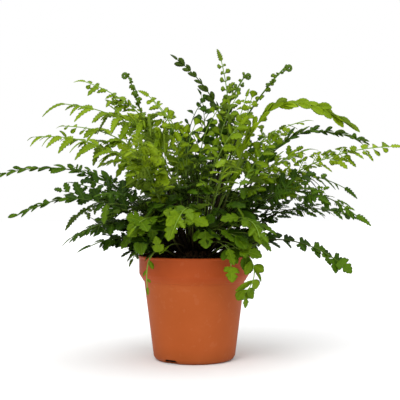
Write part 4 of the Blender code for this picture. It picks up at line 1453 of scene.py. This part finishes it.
def dent(mesh):
    """Presses the dents into the wall, inside and out."""
    for vertex in mesh.vertices:
        x, y, z = vertex.co
        azimuth = math.degrees(math.atan2(y, x))
        move = 0.0
        for centre, wide, height, tall, depth in DENTS:
            off = (azimuth - centre + 180) % 360 - 180
            move -= depth * math.exp(-((off / wide) ** 2) - ((z - height) / tall) ** 2)
        radius = math.hypot(x, y)
        if radius > 0.03:
            vertex.co.x += x / radius * move
            vertex.co.y += y / radius * move


def mound(radius):
    """How far the peat stands over its edge there."""
    return MOUND * max(0.0, 1 - (radius / MOUND_RADIUS) ** 2)


def lumps(vertex, *layers):
    """Noise at the vertex: for each layer its seed height, its scale and its size in metres."""
    x, y, _ = vertex.co
    return sum(noise.noise(Vector((x, y, seed)) * scale) * size for seed, scale, size in layers)


def make_fine_soil(finish, crumb, rng):
    """Peat with a mounded, crumbly top."""
    edge = collar_radius(SOIL_TOP) - WALL - FIT_GAP
    profile = [(0, FLOOR + FIT_GAP)] + inner_profile(FIT_GAP)
    rings = 26
    for k in range(rings + 1):
        profile.append((edge * (1 - k / rings), SOIL_TOP))
    soil = fine_turned("peat", profile, 120, finish)
    for vertex in soil.data.vertices:
        if vertex.co.z < SOIL_TOP - 1e-5:
            continue
        radius = math.hypot(vertex.co.x, vertex.co.y)
        fall = min(1.0, (edge - radius) / 0.004)
        rise = lumps(vertex, (0.3, 130, 0.0016), (0.7, 420, 0.0009)) + mound(radius)
        vertex.co.z += rise * fall - 0.0012 * (1 - fall)
    soil.data.shade_smooth()
    ride_as(soil, "potting_soil")
    crumbs = Builder("peat_crumbs", [crumb])
    for _ in range(CRUMB_COUNT):
        facing, radius = heading(rng.uniform(0, 360)), math.sqrt(rng.uniform(0.15, 1)) * 0.054
        add_crumb(crumbs, facing * radius + UP * (SOIL_TOP + 0.0012 + mound(radius)), rng)
    for points in crumbs.points:
        radius = np.hypot(points[:, 0], points[:, 1])
        points[:, :2] *= np.minimum(1, CRUMB_LIMIT / radius)[:, None]
    ride_as(crumbs.make())


def add_crumb(builder, place, rng):
    """A lump or a fibre of peat."""
    if rng.random() < 0.45:
        turn = rng.uniform(0, 2 * math.pi)
        step = Vector((math.cos(turn), math.sin(turn), rng.uniform(-0.1, 0.35))) * rng.uniform(0.0012, 0.003)
        bend = Vector((rng.gauss(0, 1), rng.gauss(0, 1), rng.gauss(0, 0.3))) * 0.0006
        path = [place + step * k + bend * k * k * 0.25 for k in range(5)]
        add_tube(builder, path, [0.00022] * 5, [UP] * 5, 4, [rng.random()] * 5)
        return
    size = rng.uniform(0.0006, 0.0021)
    half = Vector((1, 0.7, 0.5)) * size
    spin = Quaternion(Vector((rng.gauss(0, 1), rng.gauss(0, 1), 0.3)).normalized(), rng.uniform(0, 3))
    points = []
    for signs in itertools.product((-1, 1), repeat=3):
        corner = Vector([sign * reach for sign, reach in zip(signs, half)])
        points.append(place + spin @ corner * rng.uniform(0.7, 1.2))
    faces = [(0, 1, 3, 2), (4, 6, 7, 5), (0, 4, 5, 1), (2, 3, 7, 6), (0, 2, 6, 4), (1, 5, 7, 3)]
    builder.add(points, faces, 0, rng.random(), [(0, 0)] * 8)


def make_fine_crown(finish, rng):
    """The crown: a dome covered with pointed brown scales."""
    lowest = math.degrees(math.asin((CROWN_SUNK + FIT_GAP) / CROWN_RADIUS))
    dome = arc((0, CROWN_CENTRE.z), CROWN_RADIUS - 0.001, lowest, 90, 14)[:-1]
    profile = [(0, SOIL_TOP + FIT_GAP), *dome, (0, CROWN_CENTRE.z + CROWN_RADIUS - 0.001)]
    crown = fine_turned("crown", profile, 72, finish)
    for vertex in crown.data.vertices:
        out = (vertex.co - CROWN_CENTRE).normalized()
        vertex.co += out * noise.noise(vertex.co * 300) * 0.0009
    crown.data.shade_smooth()
    ride_as(crown, "rhizome_crown")
    scales = Builder("crown_scales", [finish])
    for _ in range(SCALE_COUNT):
        facing, lift = heading(rng.uniform(0, 360)), math.asin(rng.uniform(0.30, 0.99))
        out = facing * math.cos(lift) + UP * math.sin(lift)
        base = CROWN_CENTRE + out * (CROWN_RADIUS - 0.0012)
        tip = (out + Vector((rng.gauss(0, 0.4), rng.gauss(0, 0.4), 0.5))).normalized()
        radius, length = rng.uniform(0.0003, 0.0007), rng.uniform(0.0015, 0.0042)
        path = [base, base + tip * length * 0.5, base + tip * length]
        radii = [radius, radius * 0.8, radius * 0.15]
        add_tube(scales, path, radii, [out] * 3, 3, [rng.random()] * 3)
    ride_as(scales.make())


# ---------------------------------------------------------------- stage

AMBIENT = 0.55
PLANT_MIDDLE = 0.15


def make_stage():
    """A pale floor and an even white surround, which looks brighter than it lights."""
    floor_material, tree, shader, _ = node_material("paper_sweep")
    shader.inputs["Base Color"].default_value = (0.93, 0.93, 0.93, 1)
    shader.inputs["Roughness"].default_value = 0.9
    mesh = bpy.data.meshes.new("floor")
    mesh.from_pydata([(-6, -4, 0), (6, -4, 0), (6, 6, 0), (-6, 6, 0)], [], [(0, 1, 2, 3)])
    mesh.materials.append(floor_material)
    put("floor", mesh)
    world = bpy.data.worlds.new("studio")
    world.use_nodes = True
    tree = world.node_tree
    seen = tree.nodes.new("ShaderNodeLightPath").outputs["Is Camera Ray"]
    background = tree.nodes["Background"]
    background.inputs["Color"].default_value = (1.0, 1.0, 1.0, 1)
    plug(tree, linear(tree, seen, 1.0 - AMBIENT, AMBIENT), background.inputs["Strength"])
    bpy.context.scene.world = world
    bpy.context.scene.view_settings.view_transform = "Standard"


def add_sun(name, place, softness, strength):
    """A broad, soft light that shines from the given place towards the plant, evenly on the floor."""
    data = bpy.data.lights.new(name, "SUN")
    data.angle = math.radians(softness)
    data.energy = strength
    light = put(name, data)
    light.location = place
    light.rotation_mode = "QUATERNION"
    light.rotation_quaternion = (UP * PLANT_MIDDLE - Vector(place)).to_track_quat("-Z", "Y")


def add_camera():
    """The photo's camera: level, a little under a metre in front."""
    data = bpy.data.cameras.new("camera")
    data.sensor_width = 36.0
    data.lens = 79.5
    data.clip_start = 0.05
    data.clip_end = 20.0
    data.shift_y = 0.00275
    camera = put("camera", data)
    camera.location = (0.006, -0.95, 0.169)
    camera.rotation_euler = (math.radians(90), 0, 0)
    bpy.context.scene.camera = camera


def make_fronds(finishes, rng):
    """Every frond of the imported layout, each in place of its own node."""
    stems = lay_stems(FRONDS)
    grown = grow_pinnae(stems, cad_obstacles())
    counts = {"frond": 0, "fiddlehead": 0}
    for row, (stem, pinnae) in enumerate(zip(stems, grown), start=1):
        word = "fiddlehead" if stem.kind == "coiled" else "frond"
        counts[word] += 1
        node = f"{word}_{counts[word]:02d}"
        obj = dress_frond(f"leafy_{node}", row, stem, pinnae, finishes[stem.kind], rng)
        ride_as(obj, node)


def main():
    """The whole picture. The pieces share one source of random draws, so their order matters."""
    rng = random.Random(7)
    finishes = leaf_materials()
    make_fine_pot(plastic_material("terracotta_plastic"))
    make_fine_soil(peat_material("peat", 420.0), peat_material("peat_crumb", 260.0), rng)
    make_fine_crown(peat_material("rhizome_fibre", 500.0), rng)
    make_fronds(finishes, rng)
    make_low_leaves(finishes, rng)
    make_sprays(finishes, rng)
    make_stage()
    add_sun("key", (-0.7, -1.2, 1.5), 35, 1.5)
    add_sun("top", (0.3, 0.1, 1.8), 70, 1.5)
    add_sun("front", (0.5, -1.5, 0.6), 60, 0.6)
    add_camera()


def cad_obstacles():
    """The pot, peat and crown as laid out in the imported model."""
    found = []
    for node in ("nursery_pot", "potting_soil", "rhizome_crown"):
        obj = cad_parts[node]
        corners = [obj.matrix_world @ vertex.co for vertex in obj.data.vertices]
        found.append(Obstacle(corners, [tuple(face.vertices) for face in obj.data.polygons]))
    return found


main()
